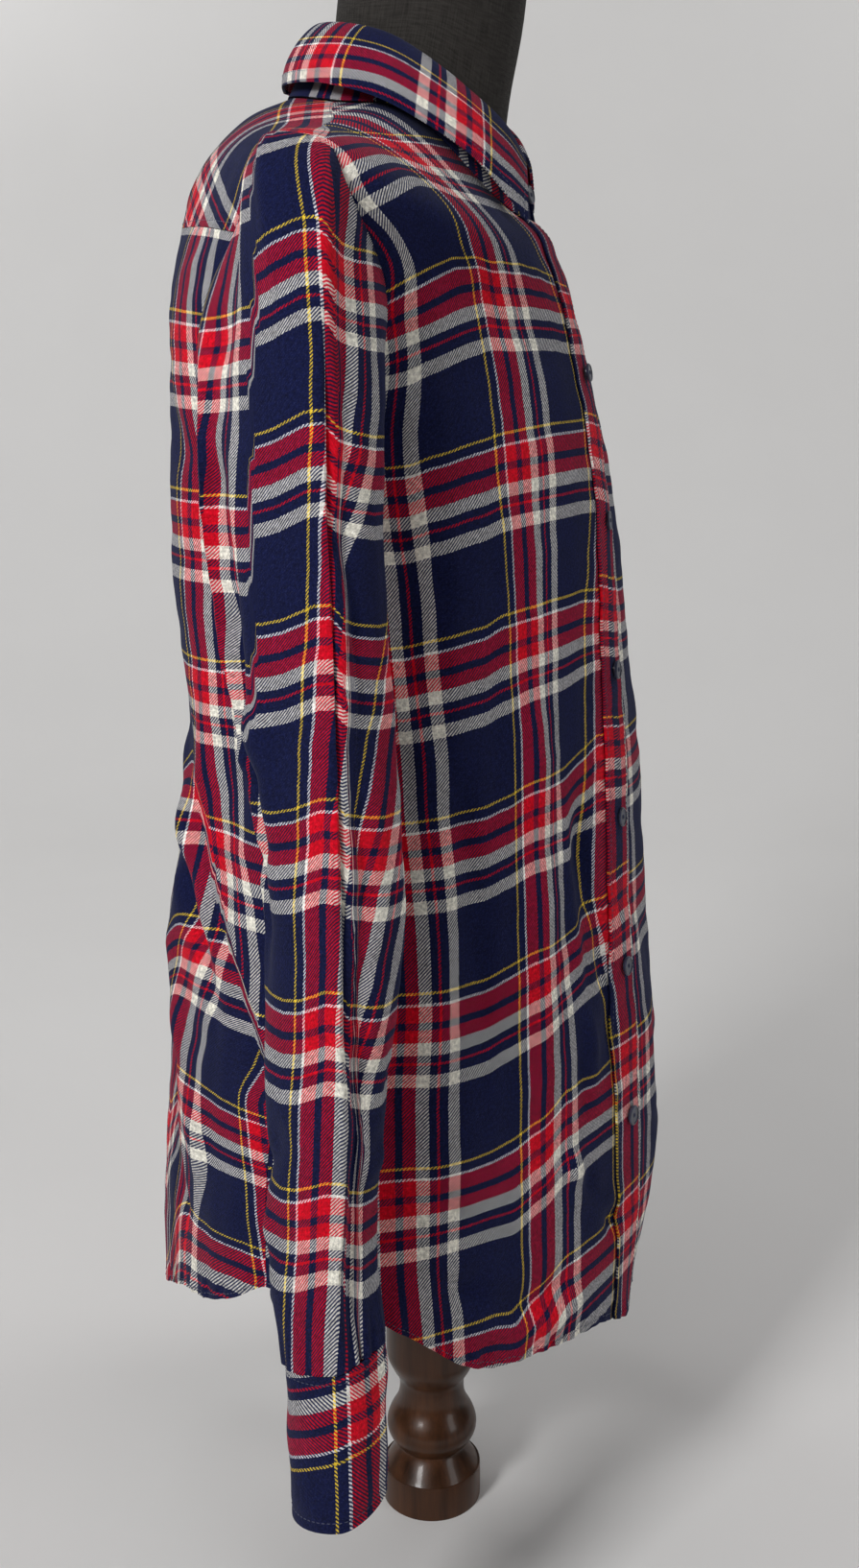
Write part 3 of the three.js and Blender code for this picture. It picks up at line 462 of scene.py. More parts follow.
threads = {  # gamma-encoded, because the threads are mixed as the eye sees them
    "navy": (0.085, 0.105, 0.235),
    "red": (0.80, 0.05, 0.14),
    "cream": (0.90, 0.885, 0.835),
    "yellow": (0.93, 0.78, 0.22),
    "white": (0.93, 0.92, 0.92),
}
sett = [  # thread and width in millimetres, one repeat
    ("yellow", 1.2), ("navy", 4.8), ("white", 1.2), ("red", 8.5), ("navy", 3.7), ("red", 6.7),
    ("cream", 6.9), ("navy", 4.05), ("red", 1.4), ("navy", 5.1), ("cream", 6.6), ("navy", 41.25),
]
plaidRepeat = sum(width for name, width in sett) / 1000


def stripeRamp(tree, place):
    node = addNode(tree, "ShaderNodeValToRGB", {0: place})
    ramp = node.color_ramp
    ramp.interpolation = "CONSTANT"
    start = 0
    for index, (name, width) in enumerate(sett):
        stop = ramp.elements[0] if index == 0 else ramp.elements.new(start / plaidRepeat / 1000)
        stop.position = start / plaidRepeat / 1000
        stop.color = (*threads[name], 1)
        start += width
    for stop in list(ramp.elements):
        if stop.position > 0.9999:
            ramp.elements.remove(stop)
    return node.outputs[0]


def plaidGroup():
    group, given, result = newGroup(
        "plaidThreads",
        [("Cloth", "NodeSocketVector", None), ("Thread", "NodeSocketFloat", 0.00095),
            ("Nap", "NodeSocketFloat", 1.0)],
        [("Color", "NodeSocketColor"), ("Height", "NodeSocketFloat")],
    )
    place, thread, nap = given.outputs["Cloth"], given.outputs["Thread"], given.outputs["Nap"]
    split = addNode(group, "ShaderNodeSeparateXYZ", {0: place})
    across, down = split.outputs[0], split.outputs[1]
    ways = []
    for value, offset in ((across, 0.0), (down, 7.3)):
        moved = addNode(group, "ShaderNodeVectorMath", {0: place, 1: (offset, 3.1, 0)},
            operation="ADD").outputs[0]
        wobble = calc(group, "MULTIPLY", calc(group, "SUBTRACT", noise(group, moved, 900, 1.0), 0.5),
            0.0009)
        lazy = calc(group, "MULTIPLY", calc(group, "SUBTRACT", noise(group, moved, 22, 1.0), 0.5), 0.0012)
        moved = calc(group, "ADD", calc(group, "ADD", value, wobble), lazy)
        ways.append(stripeRamp(group, calc(group, "FRACT", calc(group, "DIVIDE", moved, plaidRepeat))))
    slope = calc(group, "DIVIDE", calc(group, "ADD", across, down), calc(group, "MULTIPLY", thread, 2.0))
    twill = calc(group, "PINGPONG", slope, 0.5)
    over = calc(group, "MULTIPLY", twill, 2.0)
    sharper = addNode(group, "ShaderNodeMapRange", {0: over, 1: 0.3, 2: 0.7, 3: 0.12, 4: 0.88}).outputs[0]
    mixed = blend(group, sharper, ways[0], ways[1])
    streak = addNode(group, "ShaderNodeVectorMath", {0: place, 1: (1100, 260, 1)},
        operation="MULTIPLY").outputs[0]
    fine = noise(group, streak, 1.0, 2.0, 0.6)
    broad = noise(group, place, 55, 3.0, 0.6)
    mottle = noise(group, place, 520, 2.0, 0.7)
    shade = calc(group, "ADD", calc(group, "MULTIPLY", calc(group, "SUBTRACT", fine, 0.5), 0.34),
        calc(group, "MULTIPLY", calc(group, "SUBTRACT", broad, 0.5), 0.22))
    shade = calc(group, "ADD", shade, calc(group, "MULTIPLY", calc(group, "SUBTRACT", mottle, 0.5), 0.9))
    shade = calc(group, "ADD", calc(group, "MULTIPLY", shade, nap), 1.0)
    tinted = addNode(group, "ShaderNodeVectorMath", {0: mixed, "Scale": shade},
        operation="SCALE").outputs[0]
    haze = calc(group, "MULTIPLY", calc(group, "SUBTRACT", noise(group, place, 1300, 2.0), 0.52), 0.7,
        clamp=True)
    hazed = blend(group, haze, tinted, (0.62, 0.58, 0.64, 1))
    linear = addNode(group, "ShaderNodeGamma", {0: hazed, 1: 2.2}).outputs[0]
    group.links.new(linear, result.inputs["Color"])
    height = calc(group, "ADD", calc(group, "MULTIPLY", twill, 1.2), calc(group, "ADD", fine, mottle))
    group.links.new(height, result.inputs["Height"])
    return group


def emptyMaterial(name):
    material = bpy.data.materials.new(name)
    material.use_nodes = True
    tree = material.node_tree
    tree.nodes.clear()
    output = tree.nodes.new("ShaderNodeOutputMaterial")
    shader = tree.nodes.new("ShaderNodeBsdfPrincipled")
    tree.links.new(shader.outputs[0], output.inputs[0])
    return material, tree, shader


def setShader(shader, **values):
    for key, value in values.items():
        shader.inputs[key.replace("_", " ")].default_value = value


def flannelMaterial():
    material, tree, shader = emptyMaterial("brushed flannel")
    uv = addNode(tree, "ShaderNodeUVMap", uv_map="cloth").outputs[0]
    plaid = addNode(tree, "ShaderNodeGroup", node_tree=plaidGroup())
    tree.links.new(uv, plaid.inputs["Cloth"])
    tree.links.new(plaid.outputs["Color"], shader.inputs["Base Color"])
    bump = addNode(tree, "ShaderNodeBump", {"Strength": 0.35, "Distance": 0.0004,
        "Height": plaid.outputs["Height"]})
    tree.links.new(bump.outputs[0], shader.inputs["Normal"])
    rough = addNode(tree, "ShaderNodeMapRange",
        {0: plaid.outputs["Height"], 1: 0.5, 2: 2.2, 3: 0.97, 4: 0.86}).outputs[0]
    tree.links.new(rough, shader.inputs["Roughness"])
    setShader(shader, Sheen_Weight=0.05, Sheen_Roughness=0.5, Specular_IOR_Level=0.12)
    shader.inputs["Sheen Tint"].default_value = (0.75, 0.78, 0.9, 1)
    return material


def weaveGroup():
    group, given, result = newGroup(
        "linenWeave",
        [("Cloth", "NodeSocketVector", None), ("Thread", "NodeSocketFloat", 0.0009)],
        [("Value", "NodeSocketFloat"), ("Height", "NodeSocketFloat")],
    )
    place, thread = given.outputs["Cloth"], given.outputs["Thread"]
    split = addNode(group, "ShaderNodeSeparateXYZ", {0: place})
    slub = calc(group, "MULTIPLY", calc(group, "SUBTRACT", noise(group, place, 300, 2.0), 0.5), 0.0014)
    a = calc(group, "SINE", calc(group, "MULTIPLY",
        calc(group, "DIVIDE", calc(group, "ADD", split.outputs[0], slub), thread), 6.283))
    b = calc(group, "SINE", calc(group, "MULTIPLY",
        calc(group, "DIVIDE", calc(group, "ADD", split.outputs[1], slub), thread), 6.283))
    woven = calc(group, "MULTIPLY", a, b)
    tall = addNode(group, "ShaderNodeVectorMath", {0: place, 1: (900, 60, 1)},
        operation="MULTIPLY").outputs[0]
    wide = addNode(group, "ShaderNodeVectorMath", {0: place, 1: (60, 900, 1)},
        operation="MULTIPLY").outputs[0]
    slubs = calc(group, "ADD", noise(group, tall, 1.0, 2.0), noise(group, wide, 1.0, 2.0))
    value = calc(group, "ADD", calc(group, "MULTIPLY", woven, 0.16), calc(group, "MULTIPLY", slubs, 0.5))
    group.links.new(value, result.inputs["Value"])
    group.links.new(calc(group, "ADD", calc(group, "MULTIPLY", woven, 0.5), slubs), result.inputs["Height"])
    return group


def linenMaterial():
    material, tree, shader = emptyMaterial("charcoal linen")
    uv = addNode(tree, "ShaderNodeUVMap", uv_map="cloth").outputs[0]
    weave = addNode(tree, "ShaderNodeGroup", node_tree=weaveGroup())
    tree.links.new(uv, weave.inputs["Cloth"])
    color = addNode(tree, "ShaderNodeMapRange",
        {0: weave.outputs["Value"], 1: 0.2, 2: 0.8, 3: 0.0, 4: 1.0}).outputs[0]
    tree.links.new(blend(tree, color, (0.006, 0.0055, 0.005, 1), (0.058, 0.052, 0.047, 1)),
        shader.inputs["Base Color"])
    bump = addNode(tree, "ShaderNodeBump", {"Strength": 0.5, "Distance": 0.0004,
        "Height": weave.outputs["Height"]})
    tree.links.new(bump.outputs[0], shader.inputs["Normal"])
    rough = addNode(tree, "ShaderNodeMapRange",
        {0: weave.outputs["Value"], 1: 0.2, 2: 0.8, 3: 0.92, 4: 0.8}).outputs[0]
    tree.links.new(rough, shader.inputs["Roughness"])
    setShader(shader, Specular_IOR_Level=0.2)
    return material


def walnutMaterial():
    material, tree, shader = emptyMaterial("dark walnut")
    place = addNode(tree, "ShaderNodeTexCoord").outputs["Object"]
    grain = addNode(tree, "ShaderNodeMapping", {0: place, "Scale": (120, 120, 9)}).outputs[0]
    fibre = noise(tree, grain, 1.0, 5.0, 0.6)
    pores = noise(tree, addNode(tree, "ShaderNodeMapping", {0: place, "Scale": (900, 900, 40)}).outputs[0],
        1.0, 2.0)
    cloud = noise(tree, place, 18, 2.0)
    value = calc(tree, "ADD", calc(tree, "MULTIPLY", fibre, 0.7), calc(tree, "MULTIPLY", cloud, 0.4))
    ramp = addNode(tree, "ShaderNodeMapRange", {0: value, 1: 0.35, 2: 0.8}).outputs[0]
    color = blend(tree, ramp, (0.02, 0.007, 0.002, 1), (0.13, 0.046, 0.015, 1))
    color = blend(tree, calc(tree, "MULTIPLY", pores, 0.5), color, (0.008, 0.004, 0.003, 1))
    tree.links.new(color, shader.inputs["Base Color"])
    rough = addNode(tree, "ShaderNodeMapRange", {0: fibre, 1: 0.3, 2: 0.7, 3: 0.3, 4: 0.42}).outputs[0]
    tree.links.new(rough, shader.inputs["Roughness"])
    bump = addNode(tree, "ShaderNodeBump", {"Strength": 0.12, "Distance": 0.0003, "Height": pores})
    tree.links.new(bump.outputs[0], shader.inputs["Normal"])
    setShader(shader, Coat_Weight=0.2, Coat_Roughness=0.12, Specular_IOR_Level=0.25)
    return material


def buttonMaterial():
    material, tree, shader = emptyMaterial("button")
    place = addNode(tree, "ShaderNodeTexCoord").outputs["Object"]
    cloud = noise(tree, place, 260, 3.0)
    ramp = addNode(tree, "ShaderNodeMapRange", {0: cloud, 1: 0.35, 2: 0.65}).outputs[0]
    tree.links.new(blend(tree, ramp, (0.012, 0.014, 0.03, 1), (0.035, 0.042, 0.085, 1)),
        shader.inputs["Base Color"])
    bump = addNode(tree, "ShaderNodeBump", {"Strength": 0.08, "Distance": 0.0002,
        "Height": noise(tree, place, 1500, 2.0)})
    tree.links.new(bump.outputs[0], shader.inputs["Normal"])
    rough = addNode(tree, "ShaderNodeMapRange", {0: cloud, 1: 0.3, 2: 0.7, 3: 0.28, 4: 0.4}).outputs[0]
    tree.links.new(rough, shader.inputs["Roughness"])
    setShader(shader, Coat_Weight=0.3, Coat_Roughness=0.2)
    return material


def threadMaterial():
    material, tree, shader = emptyMaterial("sewing thread")
    place = addNode(tree, "ShaderNodeTexCoord").outputs["Object"]
    strand = noise(tree, place, 4000, 1.0)
    tree.links.new(blend(tree, strand, (0.012, 0.016, 0.05, 1), (0.05, 0.06, 0.13, 1)),
        shader.inputs["Base Color"])
    rough = addNode(tree, "ShaderNodeMapRange", {0: strand, 3: 0.5, 4: 0.75}).outputs[0]
    tree.links.new(rough, shader.inputs["Roughness"])
    bump = addNode(tree, "ShaderNodeBump", {"Strength": 0.3, "Distance": 0.0001, "Height": strand})
    tree.links.new(bump.outputs[0], shader.inputs["Normal"])
    setShader(shader, Sheen_Weight=0.2)
    return material


flannel = flannelMaterial()
linen = linenMaterial()
walnut = walnutMaterial()
buttonFinish = buttonMaterial()
threadFinish = threadMaterial()
print("materials made")


def finishPiece(piece, material, slotName, *nodes):
    piece.data.materials.clear()
    piece.data.materials.append(material)
    if nodes:
        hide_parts(*nodes)
    return piece


# camera
view = {"place": (-0.9176, -0.2459, 0.627), "turn": -75, "lens": 37.23, "shift": (-0.0015, -0.2332)}


def makeCamera():
    data = bpy.data.cameras.new("view")
    data.sensor_fit = "AUTO"
    data.sensor_width = 36
    data.lens = view["lens"]
    data.shift_x, data.shift_y = view["shift"]
    data.clip_start = 0.05
    camera = bpy.data.objects.new("view", data)
    camera.location = view["place"]
    camera.rotation_euler = (math.radians(90), 0, math.radians(view["turn"]))
    bpy.context.scene.collection.objects.link(camera)
    bpy.context.scene.camera = camera


makeCamera()

def tableShift(rows, columns, table, across, height):
    # smooth value of a table at (across, height), its heights falling down the rows
    x = np.interp(across, columns, np.arange(len(columns)))
    y = np.interp(-height, -np.array(rows), np.arange(len(rows)))
    table = np.array(table)
    low, top = np.minimum(x.astype(int), len(columns) - 2), np.minimum(y.astype(int), len(rows) - 2)
    s, t = x - low, y - top
    s, t = s * s * (3 - 2 * s) * 0.5 + s * 0.5, t * t * (3 - 2 * t) * 0.5 + t * 0.5
    upper = mix(table[top, low], table[top, low + 1], s)
    return mix(upper, mix(table[top + 1, low], table[top + 1, low + 1], s), t)


# body panels
panels = {
    "columns": {"front": 90, "back": 150, "yoke": 130, "band": 12},
    "rowStep": 0.05,  # of a ring
    "frontEdge": 0.115,  # plaid place at the front edges
    "ripple": 0.0007,
}
degree = 0.0025  # metres of cloth to a degree, for the creases of the body
bodyCreases = [  # depth, width, path of (direction, height)
    (-0.0035, 0.007, [(-88, 0.60), (-70, 0.56), (-52, 0.53)]),
    (0.003, 0.008, [(-90, 0.56), (-74, 0.50), (-62, 0.42)]),
    (-0.003, 0.009, [(-60, 0.46), (-52, 0.36), (-50, 0.26)]),
    (0.003, 0.01, [(-34, 0.50), (-30, 0.38), (-30, 0.25)]),
    (-0.0025, 0.008, [(-20, 0.44), (-17, 0.33), (-16, 0.2)]),
    (-0.003, 0.006, [(-62, 0.2), (-40, 0.165), (-20, 0.17)]),
    (0.003, 0.006, [(-58, 0.18), (-36, 0.152), (-14, 0.155)]),
    (0.005, 0.006, [(-158, 0.455), (-142, 0.412), (-128, 0.37), (-112, 0.32)]),
    (-0.006, 0.006, [(-164, 0.435), (-146, 0.392), (-131, 0.35), (-114, 0.3)]),
    (0.005, 0.006, [(158, 0.455), (142, 0.412), (128, 0.37), (112, 0.32)]),
    (-0.006, 0.006, [(164, 0.435), (146, 0.392), (131, 0.35), (114, 0.3)]),
    (0.004, 0.005, [(-26, 0.235), (-16, 0.205), (-6, 0.18)]),
    (-0.004, 0.004, [(-22, 0.225), (-12, 0.195), (-4, 0.17)]),
    (0.003, 0.004, [(-24, 0.45), (-22, 0.38), (-16, 0.3), (-12, 0.24)]),
    (-0.003, 0.005, [(-17, 0.44), (-15, 0.38), (-8, 0.31), (-5, 0.25)]),
    (0.0045, 0.010, [(-160, 0.38), (-138, 0.28), (-118, 0.22)]),
    (-0.004, 0.010, [(-160, 0.29), (-146, 0.22), (-130, 0.18)]),
    (0.0035, 0.009, [(-130, 0.5), (-140, 0.4), (-150, 0.3)]),
    (-0.0035, 0.010, [(-160, 0.68), (-140, 0.62), (-122, 0.6)]),
    (0.003, 0.012, [(150, 0.66), (136, 0.58), (126, 0.5)]),
    (-0.0035, 0.010, [(150, 0.42), (132, 0.33), (114, 0.27)]),
    (0.004, 0.011, [(164, 0.36), (142, 0.27), (120, 0.22)]),
    (-0.003, 0.010, [(30, 0.6), (48, 0.5), (66, 0.42)]),
    (0.003, 0.010, [(20, 0.5), (38, 0.36), (50, 0.24)]),
    (-0.003, 0.009, [(16, 0.36), (24, 0.26), (30, 0.18)]),
    (-0.003, 0.008, [(88, 0.6), (70, 0.55), (54, 0.52)]),
    (0.003, 0.009, [(84, 0.34), (66, 0.26), (52, 0.2)]),
]
bodyCreases = [(d, w, [(x * degree, y) for x, y in path]) for d, w, path in bodyCreases]


# where the plaid stands on the fronts: columns are plaid places, rows are heights, both metres
frontColumns = [-0.06, -0.045, -0.015, 0, 0.02, 0.04, 0.06, 0.075, 0.09, 0.105]
frontRows = [0.72, 0.675, 0.62, 0.52, 0.44, 0.36, 0.33, 0.275, 0.2, 0.16]
frontAcross = [  # millimetres added to the place across
    (-6, -4, 2, 4, 6, 8, 10, 10, 8, 5),
    (10, 8, 6.5, 6, 7, 10, 13, 13, 10, 6),
    (15, 11, 7, 6.5, 9, 12, 16, 17, 12, 6),
    (3, 2.5, -1, -2.5, 3, 14, 30, 25, 15, 6),
    (-4, -4, -6, -7, 0, 14, 30, 25, 15, 6),
    (-11, -11, -9, -8.5, -3, 12, 29.5, 25, 15, 6),
    (-12, -12, -9, -8.8, -5, 4, 14, 20, 12, 5),
    (-9, -9, -8.5, -8.5, -6, -2, 0, 3, 5, 3),
    (-7, -7, -6.5, -6, -4, -1, 2, 4, 6, 4),
    (-9, -9, -8, -7.8, -5, -2, 1, 3, 4.6, 4),
]
frontDown = [  # millimetres added to the place down
    (4.7, 5, 6, 2.6, -5, -9, -13, -16, -18, -19),
    (0, 0, 2, 2, -2, -4, -6, -8, -8, -8),
    (-11, -7, -2.5, 0, 1.2, 2, 2.6, 3, 2, 0),
    (-15, -12, -8, -3, -0.8, 1.5, 4, 3, 0, -3),
    (-15, -13, -10, -7, 0.4, 2.4, 10, 16, 15, 12),
    (-10.5, -9.5, -8.3, -4.5, 1.5, 3.2, 16, 17, 17, 18),
    (-9, -8.5, -8, -4, 2, 8, 16, 16, 17, 17),
    (-4, -5, -5.6, -2.5, 3, 14, 14.5, 15.4, 16, 16),
    (4, 4, 3, 1, 8, 18, 19, 20, 20, 20),
    (8, 7.4, 6, 2, 10, 21, 22.7, 22.7, 22.7, 22),
]


def settled(flat, points, reverse=False):  # the plaid of a front, moved to where it stands
    across = 2 * 0.115 - flat[..., 0] if reverse else flat[..., 0]
    moved = flat.copy()
    sideways = tableShift(frontRows, frontColumns, frontAcross, across, points[..., 2]) / 1000
    moved[..., 0] += -sideways if reverse else sideways
    moved[..., 1] += tableShift(frontRows, frontColumns, frontDown, across, points[..., 2]) / 1000
    return moved


backFold = ((0.06, 0.095, 0.112, 0.145, 0.175, 0.2), (0.47, 0.43, 0.39, 0.345, 0.29, 0.25))
backColumns = [0.075, 0.105, 0.13, 0.16]
backRows = [0.36, 0.334, 0.3, 0.28, 0.234, 0.19]
backAcross = [(-86, -86, -90, -95), (-72, -75, -82, -90), (-62, -68, -68, -70), (-60, -64, -62, -58),
              (-55, -65, -78, -70), (-42.5, -60, -68, -78)]
backDown = [(45, 48, 50, 50), (48, 50, 51, 51), (52, 53, 53, 53), (55, 55, 54.5, 54), (62, 66, 70, 74),
    (68, 78, 84, 89)]


def backSettled(flat, points):  # the plaid of the back, with the cloth that its slanting folds hide
    z, away = points[..., 2], np.abs(flat[..., 0])
    below = smooth(0.0025, -0.0025, z - np.interp(away, *backFold)) * smooth(0.03, 0.08, away)
    across = np.interp(-z, (-0.48, -0.44, -0.4, -0.379, -0.348), (-78.5, -83, -95, -105, -112))
    down = np.interp(-z, (-0.69, -0.59, -0.5, -0.41), (16, 7.5, 7, 14))
    moved = flat.copy()
    moved[..., 0] += 0.001 * mix(across, tableShift(backRows, backColumns, backAcross, away, z), below)
    moved[..., 1] += 0.001 * mix(down, tableShift(backRows, backColumns, backDown, away, z), below)
    return moved


def frontSide(ring):
    low = np.interp(ring, armholeFrontFine[:, 0], armholeFrontFine[:, 1])
    high = np.interp(ring, shoulderFine[:, 0], shoulderFine[:, 1])
    return np.where(ring <= 6, cloth["sideSeam"], np.where(ring <= cloth["tipRing"], low, high))


def backSide(ring):
    low = np.interp(ring, armholeBackFine[:, 0], armholeBackFine[:, 1])
    high = np.interp(ring, shoulderFine[:, 0], shoulderFine[:, 1])
    return np.where(ring <= 6, cloth["sideSeam"], np.where(ring <= cloth["tipRing"], low, high))


gapAngle = math.degrees(cloth["seamGap"] / 2 / 0.14)
gapRing = cloth["seamGap"] / 2 / 0.042


def bodyDetail(direction, ring, points):
    x, z = direction * degree, points[..., 2]
    depth = creaseDepth(x, z, bodyCreases)
    ends = smooth(0, 1, ring) * (1 - smooth(8.6, 9.6, ring))
    depth = depth + panels["ripple"] * (wave(x, z * 0.6, 0.07, 5) + 0.5 * wave(x, z, 0.03, 6)) * ends
    rise = (points[..., 2] - bodyMiddle(direction, 0 * ring)[..., 2])
    pucker = np.exp(-np.abs(rise - 0.004) / 0.005) * (wave(x, z * 0, 0.012, 8) + 0.6 * wave(x, z * 0, 0.006,
        9))
    return depth + 0.0011 * pucker


def bodyGrid(columns, rings, startAt, endAt, outAt):
    along = np.linspace(0, 1, columns + 1)[None]
    start, end = startAt(rings)[:, None], endAt(rings)[:, None]
    direction = mix(start[0], end[0], along)
    direction = direction + (start - start[0]) * (1 - along) ** 2 + (end - end[0]) * along ** 2
    ring = np.broadcast_to(rings[:, None], direction.shape)
    wrapped = np.where(direction < -180, direction + 360, direction)
    middle = bodyMiddle(wrapped, ring)
    normal = bodyNormal(wrapped, ring)
    out = outAt(wrapped, ring) + bodyDetail(wrapped, ring, middle)
    return direction, ring, middle + normal * out[..., None]


def ringList(low, high):
    return np.linspace(low, high, int(round((high - low) / panels["rowStep"])) + 1)


def frontGrain(points, back=1):
    grain = np.zeros(points.shape)
    grain[..., 2] = 1
    grain[..., 1] = back * smooth(0.62, 0.72, points[..., 2])
    return grain


def rightFront():
    rings = ringList(0, 11)
    direction, ring, points = bodyGrid(
        panels["columns"]["front"], rings, lambda r: frontSide(r) + gapAngle,
        lambda r: besideCentre(cloth["wrap"], r), lambda d, r: 0 * d)
    flat = layFlat(points, frontGrain(points))
    flat = pinned(flat, points, (panels["frontEdge"], points[60, -1]), (0, (-0.105, -0.065, 0.5266)))
    flat = settled(flat, points)
    seam(points, cloth["wall"], row=1)
    piece = clothShell("right_front", points, flat, cloth["wall"])
    return finishPiece(piece, flannel, "flannel", "front_right")


def underlap(direction, ring):
    distance = alongRows(bodyRings, ring)[..., 3] * np.sin(np.radians(direction))
    depth = cloth["wall"] + cloth["seamGap"] + cloth["facetRoom"] / 2
    return -depth * (1 - smooth(cloth["wrap"] + 0.001, cloth["wrap"] + 0.034, distance))


def leftFront():
    rings = ringList(0, 11)
    direction, ring, points = bodyGrid(
        panels["columns"]["front"], rings, lambda r: besideCentre(-cloth["wrap"], r),
        lambda r: -frontSide(r) - gapAngle, underlap)
    flat = layFlat(points, frontGrain(points))
    flat = pinned(flat, points, (panels["frontEdge"] - 2 * cloth["wrap"], points[60, 0]),
        (0, (0.02, -0.1, 0.535)))
    flat[..., 1] += 0.001 * np.interp(-points[..., 2], (-0.62, -0.52, -0.44, -0.36, -0.275, -0.16),
        (0, -2, 4, 11, 14, 16))
    seam(points, cloth["wall"], row=1)
    piece = clothShell("left_front", points, flat, cloth["wall"])
    return finishPiece(piece, flannel, "flannel", "front_left")


def buttonBand():
    lift = cloth["wall"] + cloth["seamGap"] + cloth["facetRoom"] / 2
    rings = ringList(0, 11)
    direction, ring, points = bodyGrid(
        panels["columns"]["band"], rings, lambda r: besideCentre(cloth["wrap"] - cloth["bandWidth"], r),
        lambda r: besideCentre(cloth["wrap"] - 0.0004, r), lambda d, r: lift + 0 * d)
    flat = layFlat(points, frontGrain(points))
    flat = pinned(flat, points, (panels["frontEdge"], points[60, -1]), (0, (0.01, -0.1, 0.5373)))
    flat = settled(flat, points)
    surfaces.append(points)
    seam(points, cloth["wall"], column=1, trim=3)
    seam(points, cloth["wall"], column=-2, trim=3)
    piece = clothShell("front_band", points, flat, cloth["wall"])
    return finishPiece(piece, flannel, "flannel", "button_band")


def backPanel():
    rings = ringList(0, cloth["yokeSeamRing"] - gapRing)
    direction, ring, points = bodyGrid(
        panels["columns"]["back"], rings, lambda r: backSide(r) - gapAngle,
        lambda r: -360 - backSide(r) + gapAngle, lambda d, r: 0 * d)
    flat = layFlat(points, frontGrain(points, -0.3))
    middle = panels["columns"]["back"] // 2
    flat = pinned(flat, points, (0.02, points[60, middle]), (0, (-0.075, 0.13, 0.491)))
    flat[..., 0] *= -1
    flat = backSettled(flat, points)
    seam(points, cloth["wall"], row=1)
    piece = clothShell("back_panel", points, flat, cloth["wall"])
    return finishPiece(piece, flannel, "flannel", "back")


def yokePanel():
    rings = np.concatenate([np.linspace(cloth["yokeSeamRing"] + gapRing, 9.1, 14)[:-1],
        np.linspace(9.1, 9.2, 4)[:-1], np.linspace(9.2, 11, 30)])
    direction, ring, points = bodyGrid(
        panels["columns"]["yoke"], rings, lambda r: backSide(r) - np.where(r > 9.2, gapAngle, 0),
        lambda r: -360 - backSide(r) + np.where(r > 9.2, gapAngle, 0), lambda d, r: 0 * d)
    grain = np.zeros(points.shape)
    grain[..., 1], grain[..., 2] = -1, 0.8
    flat = layFlat(points, grain)
    middle = panels["columns"]["yoke"] // 2
    flat = pinned(flat, points, (0.02, points[5, middle]), (0, points[0, 20]))
    edge = flat[:16, 0, 0].mean()
    flat[..., 0] = edge + 0.016 - flat[..., 0]
    flat[..., 1] = 0.0215 - flat[..., 1]
    seam(points, cloth["wall"], row=1)
    seam(points[12:], cloth["wall"], column=1)
    seam(points[12:], cloth["wall"], column=-2)
    piece = clothShell("yoke_panel", points, flat, cloth["wall"])
    return finishPiece(piece, flannel, "flannel", "yoke")


for makePanel in (rightFront, leftFront, buttonBand, backPanel, yokePanel):
    makePanel()
print("body panels made")

# sleeves and cuffs
sleeveShape = {"columns": 120, "rows": 230, "ripple": 0.0006}
sleevePlaid = {  # (minus height in metres or millimetres forward of the crest), (millimetres)
    "crest": ((-0.78, -0.756, -0.72, -0.634, -0.599, -0.558, -0.528, -0.491, -0.453, -0.42, -0.393, -0.36,
        -0.31, -0.26, -0.19),
              (13, 11, 5.1, 5.1, 6.4, 10.2, 12.8, 16, 20.5, 24, 26.3, 27.8, 29.4, 31.5, 32.8)),
    "hidden": ((-0.72, -0.675, -0.61, -0.578, -0.504, -0.482, -0.442, -0.407, -0.364, -0.306, -0.19),
               (0, 3, 13, 20, 50, 53, 58, 68, 75, 91.4, 91.4)),
    "valley": ((-0.72, -0.61, -0.53, -0.4, -0.3), (12, 10, 10, 12, 15)),
    "down": ((-85, -37, -25, -14, -8, 0, 4, 8, 18, 30), (-1, 1, 4, 9, 12, 13, 11, 5, 2, 0)),
    "edge": ((-0.72, -0.643, -0.582, -0.512, -0.447, -0.382), (-34, -36, -39.5, -42, -45, -45)),
    "behind": ((-0.6, -0.53, -0.49, -0.455), (-29, -28, -14, 0)),
}
turnLength = 0.00058  # metres of cloth to a degree round the sleeve
sleeveCreases = [  # depth, width, path of (turn from the crease, height)
    (-0.007, 0.0045, [(-72, 0.74), (-74, 0.66), (-74, 0.56), (-70, 0.48), (-64, 0.4)]),
    (0.0035, 0.0045, [(-58, 0.74), (-58, 0.64), (-57, 0.54), (-52, 0.44), (-46, 0.37)]),
    (-0.0045, 0.0035, [(13, 0.73), (9, 0.64), (8, 0.55), (8, 0.45), (12, 0.37), (19, 0.3)]),
    (0.003, 0.006, [(32, 0.66), (30, 0.55), (30, 0.45), (34, 0.35)]),
    (0.002, 0.003, [(0, 0.7), (0, 0.6), (0, 0.5), (0, 0.4), (0, 0.26)]),
    (0.003, 0.005, [(-40, 0.5), (-70, 0.46), (-110, 0.47)]),
    (-0.003, 0.005, [(-50, 0.44), (-80, 0.41), (-120, 0.43)]),
    (-0.0025, 0.006, [(30, 0.34), (70, 0.31), (110, 0.32)]),
    (0.0025, 0.006, [(20, 0.31), (60, 0.28), (100, 0.28)]),
    (-0.003, 0.006, [(-40, 0.3), (-80, 0.27), (-130, 0.29)]),
    (0.003, 0.005, [(-60, 0.25), (-100, 0.235), (-140, 0.25)]),
    (-0.0025, 0.004, [(-90, 0.23), (-110, 0.21), (-135, 0.205)]),
    (0.0025, 0.004, [(-80, 0.215), (-105, 0.2), (-130, 0.197)]),
]
